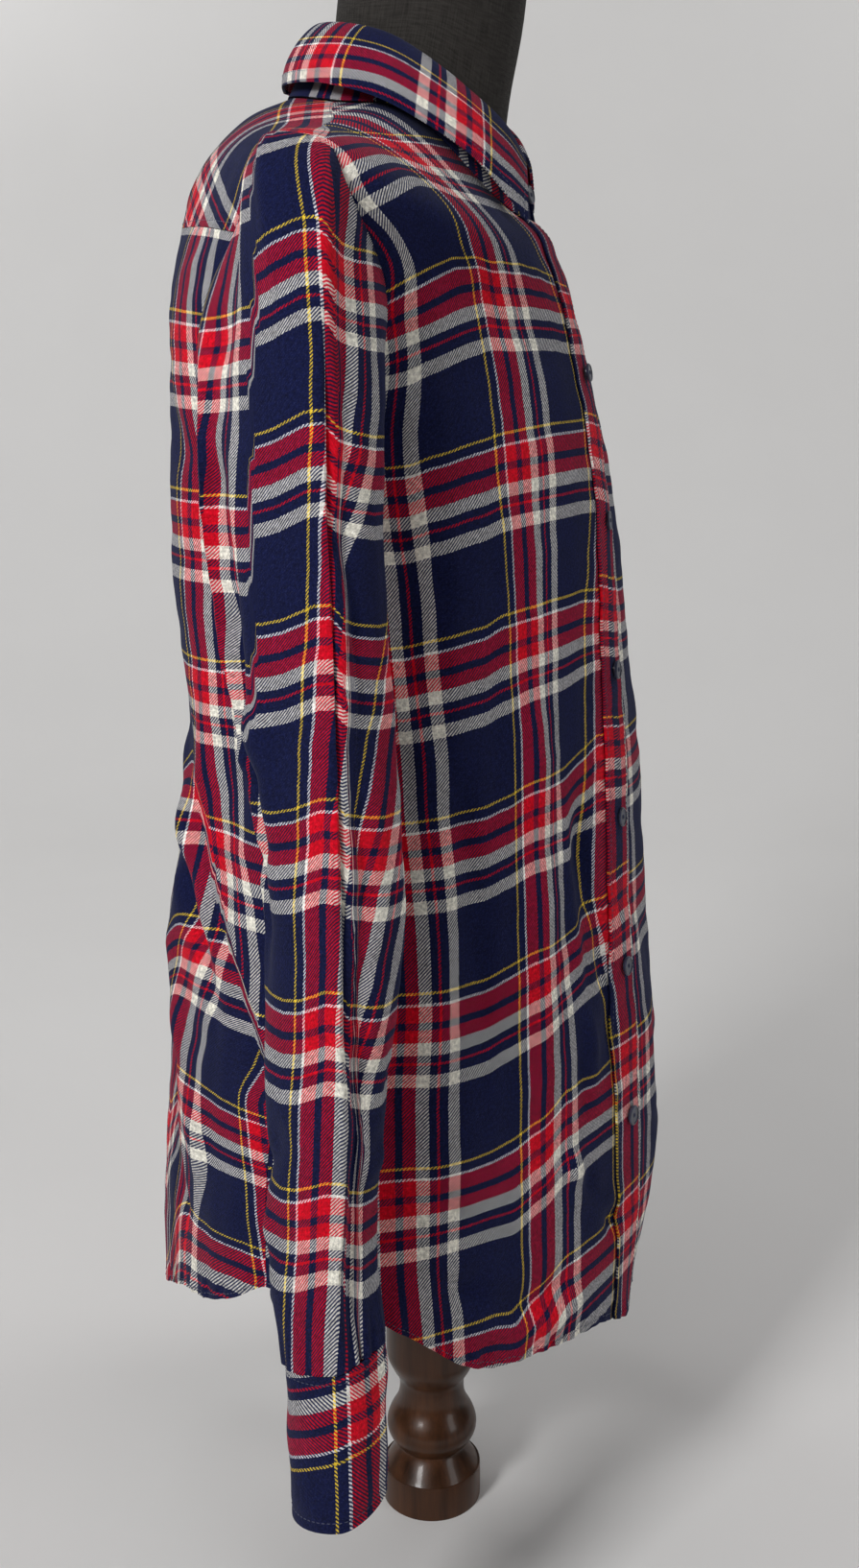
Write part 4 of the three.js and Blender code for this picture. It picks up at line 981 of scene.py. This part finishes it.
sleeveCreases = [(d, w, [(x * turnLength, y) for x, y in path]) for d, w, path in sleeveCreases]


def armholeLine(table, side):
    fine = alongRows(table, np.linspace(len(table) - 1, 0, 200))
    sign = 1 if side == "right" else -1
    out = cloth["wall"] / 2 + cloth["seamGap"] + cloth["facetRoom"]
    points = bodyPoint(fine[:, 1] * sign, fine[:, 0], np.full(len(fine), out))
    points[:, 2] += cloth["capLift"] * smooth(9, 9.15, fine[:, 0])
    points[:, 0] *= sign
    length = np.concatenate([[0], np.cumsum(np.linalg.norm(np.diff(points, axis=0), axis=1))])
    return length / length[-1], points


armholeLines = {side: [armholeLine(armholeFront, side),
    armholeLine(armholeBack, side)] for side in ("right", "left")}


def armholePoint(turn, side):
    result = []
    for (length, points), place in zip(armholeLines[side], (turn / 180, (360 - turn) / 180)):
        place = np.clip(place, 0, 1)
        result.append(np.stack([np.interp(place, length, points[:, k]) for k in range(3)], -1))
    return np.where((turn <= 180)[..., None], result[0], result[1])


def levelPoint(rows, turn):
    height, outer, inner, crease, front, back, sharp, tilt = np.moveaxis(rows, -1, 0)
    turn = turn % 360
    quarter = np.minimum((turn // 90).astype(int), 3)
    within = np.radians(turn - quarter * 90)
    innerY, middleX = (front + back) / 2, mix(outer, inner, 0.55)
    sides = np.stack([np.stack([outer, crease], -1), np.stack([middleX, front], -1),
        np.stack([inner, innerY], -1),
                      np.stack([middleX, back], -1), np.stack([outer, crease], -1)], -2)
    pick = np.take_along_axis(sides, quarter[..., None, None], -2)[..., 0, :]
    following = np.take_along_axis(sides, (quarter + 1)[..., None, None], -2)[..., 0, :]
    outerHalf = (quarter == 0) | (quarter == 3)
    power = np.where(outerHalf, sharp, 1)
    nearStart, nearEnd = np.abs(np.cos(within)) ** power, np.abs(np.sin(within)) ** power
    corner = np.stack([middleX, np.where(outerHalf, crease, innerY)], -1)
    xy = corner + (pick - corner) * nearStart[..., None] + (following - corner) * nearEnd[..., None]
    return np.concatenate([xy, (height - tilt * xy[..., 1])[..., None]], -1)


def sleevePoint(turn, stage, side):
    turn, stage = np.broadcast_arrays(np.asarray(turn, float), np.asarray(stage, float))
    turn = turn % 360
    low = levelPoint(alongRows(sleeveLevels, np.maximum(stage - 1, 0)), turn)
    start = armholePoint(turn, side)
    end = levelPoint(np.broadcast_to(sleeveLevels[0], turn.shape + (8,)), turn)
    high = 0.5 + 0.5 * np.cos(np.radians(turn))
    leaving = unit(np.stack([-np.ones(turn.shape), -0.25 * np.sin(np.radians(turn)), -0.35 * high - 0.1],
        -1))
    first = start + leaving * mix(0.0035, 0.034, high)[..., None]
    second = end.copy()
    second[..., 2] += (start[..., 2] - end[..., 2]) * mix(0.35, 0.55, high)
    t = np.clip(stage, 0, 1)[..., None]
    head = start * (1 - t) ** 3 + 3 * first * t * (1 - t) ** 2 + 3 * second * t * t * (1 - t) + end * t ** 3
    point = np.where((stage >= 1)[..., None], low, head)
    depth = 0
    for top, bottom, width, deep, rise, finish in sleeveFolds:
        at = mix(top, bottom, stage / finish)
        along = smooth(0, rise, stage) * (1 - smooth(finish - 1.5, finish, stage))
        depth = depth + deep * along * np.exp(-0.5 * ((turn - at) / width) ** 2)
    away = unit(np.stack([point[..., 0] - sleeveMiddle[0], point[..., 1] - sleeveMiddle[1], 0 * depth], -1))
    return point + away * depth[..., None]


def outward(points, loop):
    normal = gridNormals(points[:, :-1], True) if loop else gridNormals(points)
    if loop:
        normal = np.concatenate([normal, normal[:, :1]], 1)
    middle = points[..., :2].mean((0, 1))
    facing = ((points[..., :2] - middle) * normal[..., :2]).sum()
    return normal if facing > 0 else -normal


def mirrored(points, side):
    return points * np.array([-1, 1, 1]) if side == "left" else points


def sleeve(side):
    turn = np.linspace(-180, 180, sleeveShape["columns"] + 1)[None]
    head = np.linspace(0, 1, 50)[:-1]
    stage = np.concatenate([head, np.linspace(1, 8, sleeveShape["rows"] - 50)])[:, None]
    points = sleevePoint(turn, stage, side)
    normal = outward(points, True)
    x, z = turn * turnLength + 0 * stage, points[..., 2]
    seed = 20 if side == "right" else 40
    depth = creaseDepth(x, z, sleeveCreases, seed)
    ends = smooth(0, 0.6, stage) * (1 - smooth(7.3, 8, stage))
    depth = depth * ends + sleeveShape["ripple"] * (wave(x, z * 0.7, 0.05, seed) + 0.4 * wave(x, z, 0.02,
        seed + 1)) * ends
    gather = smooth(7.2, 7.9, stage) * smooth(10, 50, np.abs(turn))
    depth = depth + 0.0012 * gather * wave(x, 0 * z, 0.012, seed + 2)
    points = points + normal * depth[..., None]
    grain = np.zeros(points.shape)
    grain[..., 2] = 1
    flat = layFlat(points, grain)
    column = sleeveShape["columns"] // 2
    forward = flat[:, column, 0][:, None] - flat[..., 0]
    row = np.argmin(np.abs(points[:, column, 2] - 0.53))
    flat[..., 1] += 0.0008 - flat[row, column, 1]
    z = points[..., 2]
    hidden = np.interp(-z, *sleevePlaid["hidden"]) / 1000
    valley = np.interp(-z, *sleevePlaid["valley"]) / 1000
    flat[..., 0] = np.interp(-z, *sleevePlaid["crest"]) / 1000 + forward
    flat[..., 0] += hidden * smooth(valley - 0.0015, valley + 0.0015, forward)
    edge = np.interp(-z, *sleevePlaid["edge"]) / 1000
    behind = np.interp(-z, *sleevePlaid["behind"]) / 1000
    flat[..., 1] += np.interp(forward * 1000, *sleevePlaid["down"]) / 1000
    flat[..., 1] += behind * (1 - smooth(edge - 0.0012, edge + 0.0012, forward))
    flat[..., 1] -= 0.0065 * (1 - smooth(0.19, 0.24, z))
    points = mirrored(points, side)
    piece = clothShell(f"{side}_sleeve", points, flat, cloth["wall"], True)
    return finishPiece(piece, flannel, "flannel", f"sleeve_{side}")


def pointOutside(surface, turn, stage, out):
    across = surface(turn + 2, stage) - surface(turn - 2, stage)
    upward = surface(turn, stage - 0.05) - surface(turn, stage + 0.05)
    middle = surface(turn, stage)
    normal = unit(np.cross(across, upward))
    away = middle - np.array([-0.183, 0.005, 0])
    away[..., 2] = 0
    normal = normal * np.where((normal * away).sum(-1, keepdims=True) < 0, -1, 1)
    return middle + normal * np.asarray(out)[..., None]


def cuffPoint(turn, stage):
    turn, stage = np.broadcast_arrays(np.asarray(turn, float), np.asarray(stage, float))
    return levelPoint(alongRows(cuffLevels, stage), turn)


def cuff(side):
    opening = cloth["cuffOpening"]
    overlap = math.degrees(cloth["cuffOverlap"] / 0.03)
    turn = np.linspace(opening - 360, opening + overlap, 150)[None]
    stage = np.linspace(0, 2, 50)[:, None]
    turn, stage = np.broadcast_arrays(turn, stage)
    past = smooth(opening - 34, opening - 6, turn)
    out = past * (cloth["doubleWall"] + cloth["seamGap"])
    x, z = turn * turnLength, 0.187 - 0.036 * stage
    out = out + 0.0005 * wave(x, z, 0.03, 71) * smooth(0, 0.3, stage) * smooth(0, 0.3, 2 - stage)
    edge = np.exp(-((stage - 0.12) / 0.05) ** 2) + np.exp(-((stage - 1.88) / 0.05) ** 2)
    out = out - 0.0003 * edge
    points = pointOutside(cuffPoint, turn, stage, out)
    flat = layFlat(points, np.zeros(points.shape) + (0, 0, 1))
    column = np.argmin(np.abs(turn[0]))
    backward = flat[..., 0] - flat[:, column, 0][:, None]
    flat[..., 0] = 0.002 - backward
    flat[..., 1] = 0.044 - (flat[..., 1] - flat[0, column, 1]) + 0.5 * np.clip(backward - 0.007, -0.012,
        0.025)
    points = mirrored(points, side)
    for line in (3, -4):
        seam(points, cloth["doubleWall"], row=line, trim=2)
    piece = clothShell(f"{side}_cuff", points, flat, cloth["doubleWall"])
    surfaces.append(points)
    return finishPiece(piece, flannel, "flannel", f"cuff_{side}")


def sleeveBand(side):
    last = len(sleeveLevels)
    opening = cloth["cuffOpening"]
    stages = np.linspace(last, 5, 400)
    heights = sleevePoint(np.full(400, float(opening)), stages, side)[:, 2]
    rises = heights[0] + np.linspace(0.001, cloth["sleeveSlit"], 50)
    stage = np.interp(rises, heights, stages)[:, None]
    halfTurn = math.degrees(cloth["slitBandWidth"] / 2 / 0.033)
    turn = opening + np.linspace(-1, 1, 12)[None] * halfTurn
    turn, stage = np.broadcast_arrays(turn, stage)
    out = np.full(turn.shape, cloth["wall"] + cloth["seamGap"] + cloth["facetRoom"])
    points = pointOutside(lambda t, s: sleevePoint(t, s, side), turn, stage, out)
    flat = layFlat(points, np.zeros(points.shape) + (0, 0, 1))
    points = mirrored(points, side)
    seam(points, cloth["wall"], column=1, trim=1)
    seam(points, cloth["wall"], column=-2, trim=1)
    piece = clothShell(f"{side}_sleeve_band", points, flat, cloth["wall"])
    return finishPiece(piece, flannel, "flannel", f"sleeve_band_{side}")


for side in ("right", "left"):
    sleeve(side)
    cuff(side)
    sleeveBand(side)
print("sleeves made")

# collar
collarEnd = len(collarRows) - 1


def foldPoint(place):
    distance = np.minimum(np.abs(place), collarEnd)
    rows = alongRows(collarRows, distance)
    point = rows[..., 1:4].copy()
    back = leftTip["foldBack"] * np.sin(math.pi * (distance / collarEnd) ** 2)
    point[..., 1] += np.where(place > 0, back, 0)
    return point


def neckSeam(place):
    at = alongRows(collarRows, np.abs(place))[..., 0]
    return bodyMiddle(at, np.full(at.shape, len(bodyRings) - 1.0))


def flipped(points, place):
    points = points.copy()
    points[..., 0] *= np.where(place > 0, -1, 1)
    return points


def standPoint(place, rise):
    place, rise = np.broadcast_arrays(place, rise)
    seam, fold = neckSeam(place), foldPoint(place)
    seam = seam + unit(fold - seam) * (cloth["wall"] / 2 + cloth["seamGap"] + cloth["facetRoom"])
    return flipped(mix(seam, fold, rise[..., None]), place)


def leafPoint(place, fall):
    place, fall = np.broadcast_arrays(place, fall)
    distance = np.abs(place)
    rows = alongRows(collarRows, distance)
    fold = foldPoint(place)
    upward = unit(fold - neckSeam(place))
    half = np.where(place > 0, 1, -1)
    ahead = foldPoint(half * (distance + 0.1))
    behind = foldPoint(half * np.maximum(distance - 0.1, 0))
    away = unit(np.cross(ahead - behind, upward))
    start = fold + upward * (cloth["doubleWall"] / 2 + cloth["seamGap"] + cloth["facetRoom"])
    edge = rows[..., 4:7].copy()
    shift = np.where(place > 0, (distance / collarEnd) ** 4, 0)
    edge[..., 1] += leftTip["back"] * shift
    edge[..., 2] += leftTip["rise"] * shift
    roll = mix(0.0055, 0.0045, distance / collarEnd)[..., None]
    first = start + away * roll + upward * 0.0025
    second = edge + away * 0.0015 + np.array([0, 0, 0.017])
    t = fall[..., None]
    point = start * (1 - t) ** 3 + 3 * first * t * (1 - t) ** 2 + 3 * second * t * t * (1 - t) + edge * t ** 3
    return flipped(point, place)


def arcFlat(points, across=0.0, down=0.0):
    # flat coordinates by plain lengths along the rows and columns
    rows = np.linalg.norm(np.diff(points, axis=1), axis=-1).mean(0)
    x = np.concatenate([[0], np.cumsum(rows)])
    y = np.concatenate([np.zeros((1, points.shape[1])),
        np.cumsum(np.linalg.norm(np.diff(points, axis=0), axis=-1), 0)])
    x = x - x[len(x) // 2]
    return np.stack([np.broadcast_to(x + across, y.shape), y + down], -1)


def collarStand():
    place = np.linspace(-collarEnd, collarEnd, 161)[None]
    rise = np.linspace(0, 1, 16)[:, None]
    points = standPoint(place, rise)
    surfaces.append(points)
    piece = clothShell("neck_stand", points, arcFlat(points, 0.02, 0.055), cloth["doubleWall"])
    return finishPiece(piece, flannel, "flannel", "collar_stand")


def collarLeaf():
    place = np.linspace(-collarEnd, collarEnd, 161)[None]
    fall = (np.linspace(0, 1, 40) ** 1.15)[:, None]
    points = leafPoint(place, fall)
    normal = gridNormals(points)
    x = np.broadcast_to(place * 0.028, points.shape[:2])
    y = np.broadcast_to(fall * 0.045, points.shape[:2])
    points = points + normal * (0.0006 * wave(x, y, 0.05, 90) * fall)[..., None]
    seam(points, cloth["doubleWall"], row=-5, trim=3)
    seam(points[14:], cloth["doubleWall"], column=2)
    seam(points[14:], cloth["doubleWall"], column=-3)
    flat = arcFlat(points, 0.004, -0.0175)
    flat[..., 1] *= 1.2
    piece = clothShell("collar_fall", points, flat, cloth["doubleWall"])
    return finishPiece(piece, flannel, "flannel", "collar_leaf")


collarStand()
collarLeaf()
print("collar made")


# form and post
def turnedRings(name, rings):
    rows, columns = rings.shape[:2]
    vertices = list(rings.reshape(-1, 3)) + [rings[0].mean(0), rings[-1].mean(0)]
    faces, uvs = [], []
    around = np.concatenate([[0], np.cumsum(np.linalg.norm(np.diff(np.concatenate([rings, rings[:, :1]], 1),
        axis=1), axis=-1).mean(0))])
    up = np.concatenate([[0], np.cumsum(np.linalg.norm(np.diff(rings, axis=0), axis=-1).mean(1))])
    for r in range(rows - 1):
        for c in range(columns):
            n = (c + 1) % columns
            faces.append((r * columns + c, r * columns + n, (r + 1) * columns + n, (r + 1) * columns + c))
            uvs += [(around[c], up[r]), (around[c + 1], up[r]), (around[c + 1], up[r + 1]),
                (around[c], up[r + 1])]
    for c in range(columns):
        n = (c + 1) % columns
        faces.append((n, c, rows * columns))
        uvs += [tuple(vertices[n][:2]), tuple(vertices[c][:2]), tuple(vertices[rows * columns][:2])]
        top = (rows - 1) * columns
        faces.append((top + c, top + n, rows * columns + 1))
        uvs += [tuple(vertices[top + c][:2]), tuple(vertices[top + n][:2]),
            tuple(vertices[rows * columns + 1][:2])]
    piece = meshFrom(name, vertices, faces, uvs, 40)
    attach(piece, "root")
    return piece


# how far the form lies under the cloth at the shoulders, in metres
formSeat = {"down": 0.0018, "side": 0.0009, "front": 0.0045, "columns": 120}


def dressForm():
    seat = alongRows(bodyRings, np.array(seatRings))
    seat[:, [0, 1, 2, 5]] -= formSeat["down"]
    seat[:, 3] -= formSeat["side"]
    seat[:, 4] += formSeat["front"]
    rows = np.vstack([torsoRings, seat, neckRings])
    fine = alongRows(rows, np.linspace(0, len(rows) - 1, (len(rows) - 1) * 5 + 1))
    direction = np.linspace(-180, 180, formSeat["columns"] + 1)[:-1]
    rings = np.stack([ovalPoints(np.broadcast_to(row, (formSeat["columns"], 8)),
        direction) for row in fine])
    piece = turnedRings("linen_form", rings)
    return finishPiece(piece, linen, "linen", "form_body")


def woodPost():
    fine = alongRows(postProfile[:-1], np.linspace(0, len(postProfile) - 2, 120))
    fine = np.vstack([fine, [(0.0266, h) for h in np.linspace(0.1, 0.2377, 12)]])
    fine[:, 1] = np.clip(fine[:, 1], 0, 0.2377)
    turn = np.radians(np.linspace(0, 360, 97)[:-1])
    rings = np.stack([np.stack([r * np.cos(turn), r * np.sin(turn), 0 * turn + h], -1) for r, h in fine])
    piece = turnedRings("walnut_post", rings)
    return finishPiece(piece, walnut, "walnut", "wood_post")


dressForm()
woodPost()
print("form and post made")

# stitches and buttons
stitch = {"pitch": 0.003, "length": 0.0022, "radius": 0.00024}
button = {"width": 0.0108, "thick": 0.0016, "rim": 0.0007, "holes": 0.0014}


def nodeTree(name, sizes):
    tree = bpy.data.node_groups.new(name, "GeometryNodeTree")
    tree.interface.new_socket("Geometry", in_out="INPUT", socket_type="NodeSocketGeometry")
    for label in sizes:
        tree.interface.new_socket(label, in_out="INPUT", socket_type="NodeSocketFloat")
    tree.interface.new_socket("Geometry", in_out="OUTPUT", socket_type="NodeSocketGeometry")
    return tree, tree.nodes.new("NodeGroupInput"), tree.nodes.new("NodeGroupOutput")


def baked(name, base, tree, sizes):
    # runs a node tree on a mesh and keeps the result as a plain mesh
    carrier = bpy.data.objects.new(name + "_base", base)
    bpy.context.scene.collection.objects.link(carrier)
    modifier = carrier.modifiers.new("grow", "NODES")
    modifier.node_group = tree
    for item in tree.interface.items_tree:
        if item.in_out == "INPUT" and item.name in sizes:
            modifier[item.identifier] = sizes[item.name]
    bpy.context.view_layer.update()
    shape = carrier.evaluated_get(bpy.context.evaluated_depsgraph_get())
    mesh = bpy.data.meshes.new_from_object(shape)
    carrier.modifiers.remove(modifier)
    bpy.data.objects.remove(carrier)
    piece = bpy.data.objects.new(name, mesh)
    mesh.name = name
    bpy.context.scene.collection.objects.link(piece)
    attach(piece, "root")
    return piece


def stitches():
    base = bpy.data.meshes.new("stitch_lines")
    vertices, edges = [], []
    for line in stitchLines:
        start = len(vertices)
        vertices += [tuple(point) for point in line]
        edges += [(k, k + 1) for k in range(start, len(vertices) - 1)]
    base.from_pydata(vertices, edges, [])
    tree, given, result = nodeTree("stitch run", ["Pitch", "Length", "Radius"])
    curve = addNode(tree, "GeometryNodeMeshToCurve", {0: given.outputs["Geometry"]})
    places = addNode(tree, "GeometryNodeCurveToPoints",
        {"Curve": curve.outputs[0], "Length": given.outputs["Pitch"]}, mode="LENGTH")
    bead = addNode(tree, "GeometryNodeMeshIcoSphere", {"Radius": 1.0, "Subdivisions": 1})
    half = calc(tree, "DIVIDE", given.outputs["Length"], 2.0)
    size = addNode(tree, "ShaderNodeCombineXYZ",
        {0: given.outputs["Radius"], 1: given.outputs["Radius"], 2: half})
    shaped = addNode(tree, "GeometryNodeTransform", {"Geometry": bead.outputs[0], "Scale": size.outputs[0]})
    spread = addNode(tree, "GeometryNodeInstanceOnPoints", {
        "Points": places.outputs["Points"], "Instance": shaped.outputs[0],
            "Rotation": places.outputs["Rotation"]})
    solid = addNode(tree, "GeometryNodeRealizeInstances", {0: spread.outputs[0]})
    coated = addNode(tree, "GeometryNodeSetMaterial",
        {"Geometry": solid.outputs[0], "Material": threadFinish})
    tree.links.new(coated.outputs[0], result.inputs[0])
    piece = baked("stitching", base, tree, {"Pitch": stitch["pitch"], "Length": stitch["length"],
        "Radius": stitch["radius"]})
    return finishPiece(piece, threadFinish, "flannel")


buttonNodes = [f"front_button_{k}" for k in range(1, 7)] + ["stand_button", "cuff_button_right",
    "cuff_button_left"]


def buttons():
    places, turns = [], []
    for node in buttonNodes:
        low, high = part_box(node)
        centre = (np.array(low) + np.array(high)) / 2
        best = None
        for grid in surfaces:
            away = ((grid - centre) ** 2).sum(-1)
            spot = np.unravel_index(np.argmin(away), away.shape)
            if best is None or away[spot] < best[0]:
                best = (away[spot], facingOut(grid)[spot])
        places.append(tuple(centre))
        turns.append(Vector(best[1]).to_track_quat("Z", "Y").to_euler())
    base = bpy.data.meshes.new("button_places")
    base.from_pydata(places, [], [])
    mark = base.attributes.new("turn", "FLOAT_VECTOR", "POINT")
    for k, turn in enumerate(turns):
        mark.data[k].vector = tuple(turn)
    tree, given, result = nodeTree("button set", ["Width", "Thick", "Rim", "Holes"])
    radius = calc(tree, "DIVIDE", given.outputs["Width"], 2.0)
    inset = calc(tree, "SUBTRACT", radius, given.outputs["Rim"])
    disc = addNode(tree, "GeometryNodeMeshCylinder",
        {"Vertices": 28, "Radius": inset, "Depth": given.outputs["Thick"]})
    ring = addNode(tree, "GeometryNodeCurvePrimitiveCircle", {"Resolution": 28, "Radius": inset})
    section = addNode(tree, "GeometryNodeCurvePrimitiveCircle",
        {"Resolution": 8, "Radius": given.outputs["Rim"]})
    rim = addNode(tree, "GeometryNodeCurveToMesh",
        {"Curve": ring.outputs[0], "Profile Curve": section.outputs[0]})
    high = calc(tree, "MULTIPLY", given.outputs["Thick"], 0.3)
    lifted = addNode(tree, "GeometryNodeTransform", {
        "Geometry": rim.outputs[0], "Translation": addNode(tree, "ShaderNodeCombineXYZ",
            {2: high}).outputs[0]})
    bead = addNode(tree, "GeometryNodeMeshIcoSphere", {"Radius": 1.0, "Subdivisions": 1})
    cord = addNode(tree, "GeometryNodeTransform",
        {"Geometry": bead.outputs[0], "Scale": (0.0003, 0.0015, 0.0004)})
    side = calc(tree, "DIVIDE", given.outputs["Holes"], 2.0)
    top = calc(tree, "MULTIPLY", given.outputs["Thick"], 0.5)
    cords = []
    for sign in (1.0, -1.0):
        spot = addNode(tree, "ShaderNodeCombineXYZ", {0: calc(tree, "MULTIPLY", side, sign), 2: top})
        cords.append(addNode(tree, "GeometryNodeTransform",
            {"Geometry": cord.outputs[0], "Translation": spot.outputs[0]}).outputs[0])
    body = addNode(tree, "GeometryNodeJoinGeometry")
    for part in (disc.outputs[0], lifted.outputs[0]):
        tree.links.new(part, body.inputs[0])
    glossy = addNode(tree, "GeometryNodeSetMaterial",
        {"Geometry": body.outputs[0], "Material": buttonFinish})
    sewn = addNode(tree, "GeometryNodeJoinGeometry")
    for part in cords:
        tree.links.new(part, sewn.inputs[0])
    thread = addNode(tree, "GeometryNodeSetMaterial",
        {"Geometry": sewn.outputs[0], "Material": threadFinish})
    whole = addNode(tree, "GeometryNodeJoinGeometry")
    for part in (glossy.outputs[0], thread.outputs[0]):
        tree.links.new(part, whole.inputs[0])
    turned = addNode(tree, "GeometryNodeInputNamedAttribute", data_type="FLOAT_VECTOR")
    turned.inputs["Name"].default_value = "turn"
    turnBack = addNode(tree, "FunctionNodeEulerToRotation", {0: turned.outputs["Attribute"]})
    points = addNode(tree, "GeometryNodeMeshToPoints", {"Mesh": given.outputs["Geometry"]})
    spread = addNode(tree, "GeometryNodeInstanceOnPoints", {
        "Points": points.outputs[0], "Instance": whole.outputs[0], "Rotation": turnBack.outputs[0]})
    solid = addNode(tree, "GeometryNodeRealizeInstances", {0: spread.outputs[0]})
    tree.links.new(solid.outputs[0], result.inputs[0])
    piece = baked("buttons", base, tree, {
        "Width": button["width"], "Thick": button["thick"], "Rim": button["rim"], "Holes": button["holes"]})
    piece.data.shade_smooth()
    piece.data.set_sharp_from_angle(angle=math.radians(40))
    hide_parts(*buttonNodes)
    return piece


stitches()
buttons()
print("stitches and buttons made")

# stage and lights
def makeStage():
    ahead, across = np.array([0.966, 0.259]), np.array([-0.259, 0.966])
    profile = [(-4.0, 0.0), (1.4, 0.0)]
    profile += [(1.4 + 1.2 * math.sin(t), 1.2 - 1.2 * math.cos(t)) for t in np.radians(range(6, 91,
        6))] + [(2.6, 4.5)]
    vertices, faces = [], []
    for reach, height in profile:
        for wide in (-5, 5):
            vertices.append((*(ahead * reach + across * wide), height))
    for k in range(len(profile) - 1):
        faces.append((2 * k, 2 * k + 2, 2 * k + 3, 2 * k + 1))
    mesh = bpy.data.meshes.new("floor")
    mesh.from_pydata(vertices, [], faces)
    mesh.shade_smooth()
    floor = bpy.data.objects.new("floor", mesh)
    bpy.context.scene.collection.objects.link(floor)
    material, tree, shader = emptyMaterial("pale floor")
    place = addNode(tree, "ShaderNodeTexCoord").outputs["Object"]
    tone = blend(tree, noise(tree, place, 3, 2.0), (0.74, 0.73, 0.72, 1), (0.78, 0.77, 0.76, 1))
    tree.links.new(tone, shader.inputs["Base Color"])
    setShader(shader, Roughness=0.8)
    mesh.materials.append(material)


def softLight(name, place, aim, size, power, color=(1, 1, 1)):
    data = bpy.data.lights.new(name, "AREA")
    data.shape = "RECTANGLE"
    data.size, data.size_y = size
    data.energy = power
    data.color = color
    lamp = bpy.data.objects.new(name, data)
    lamp.location = place
    lamp.rotation_euler = (Vector(aim) - Vector(place)).to_track_quat("-Z", "Y").to_euler()
    bpy.context.scene.collection.objects.link(lamp)


makeStage()
softLight("key", (-1.75, 0.62, 1.5), (0, 0, 0.5), (0.45, 0.6), 31)
softLight("fill", (-0.6, -1.9, 0.9), (0, 0, 0.45), (0.6, 0.9), 6)
softLight("rim", (0.3, 1.9, 1.2), (0, 0.1, 0.5), (0.5, 1.0), 3)
softLight("top", (-0.3, 0.1, 2.3), (0, 0, 0.6), (1.2, 1.2), 4)
softLight("backdrop", (1.1, -1.6, 2.4), (2.6, 0.8, 1.0), (1.2, 1.2), 24)
softLight("backdrop_low", (1.2, 1.9, 2.2), (2.4, 0.5, 0.6), (1.2, 1.2), 15)
world = bpy.data.worlds.new("room")
bpy.context.scene.world = world
world.use_nodes = True
world.node_tree.nodes["Background"].inputs[0].default_value = (0.75, 0.77, 0.8, 1)
world.node_tree.nodes["Background"].inputs[1].default_value = 0.07
bpy.context.scene.view_settings.view_transform = "Standard"

print("scene finished")
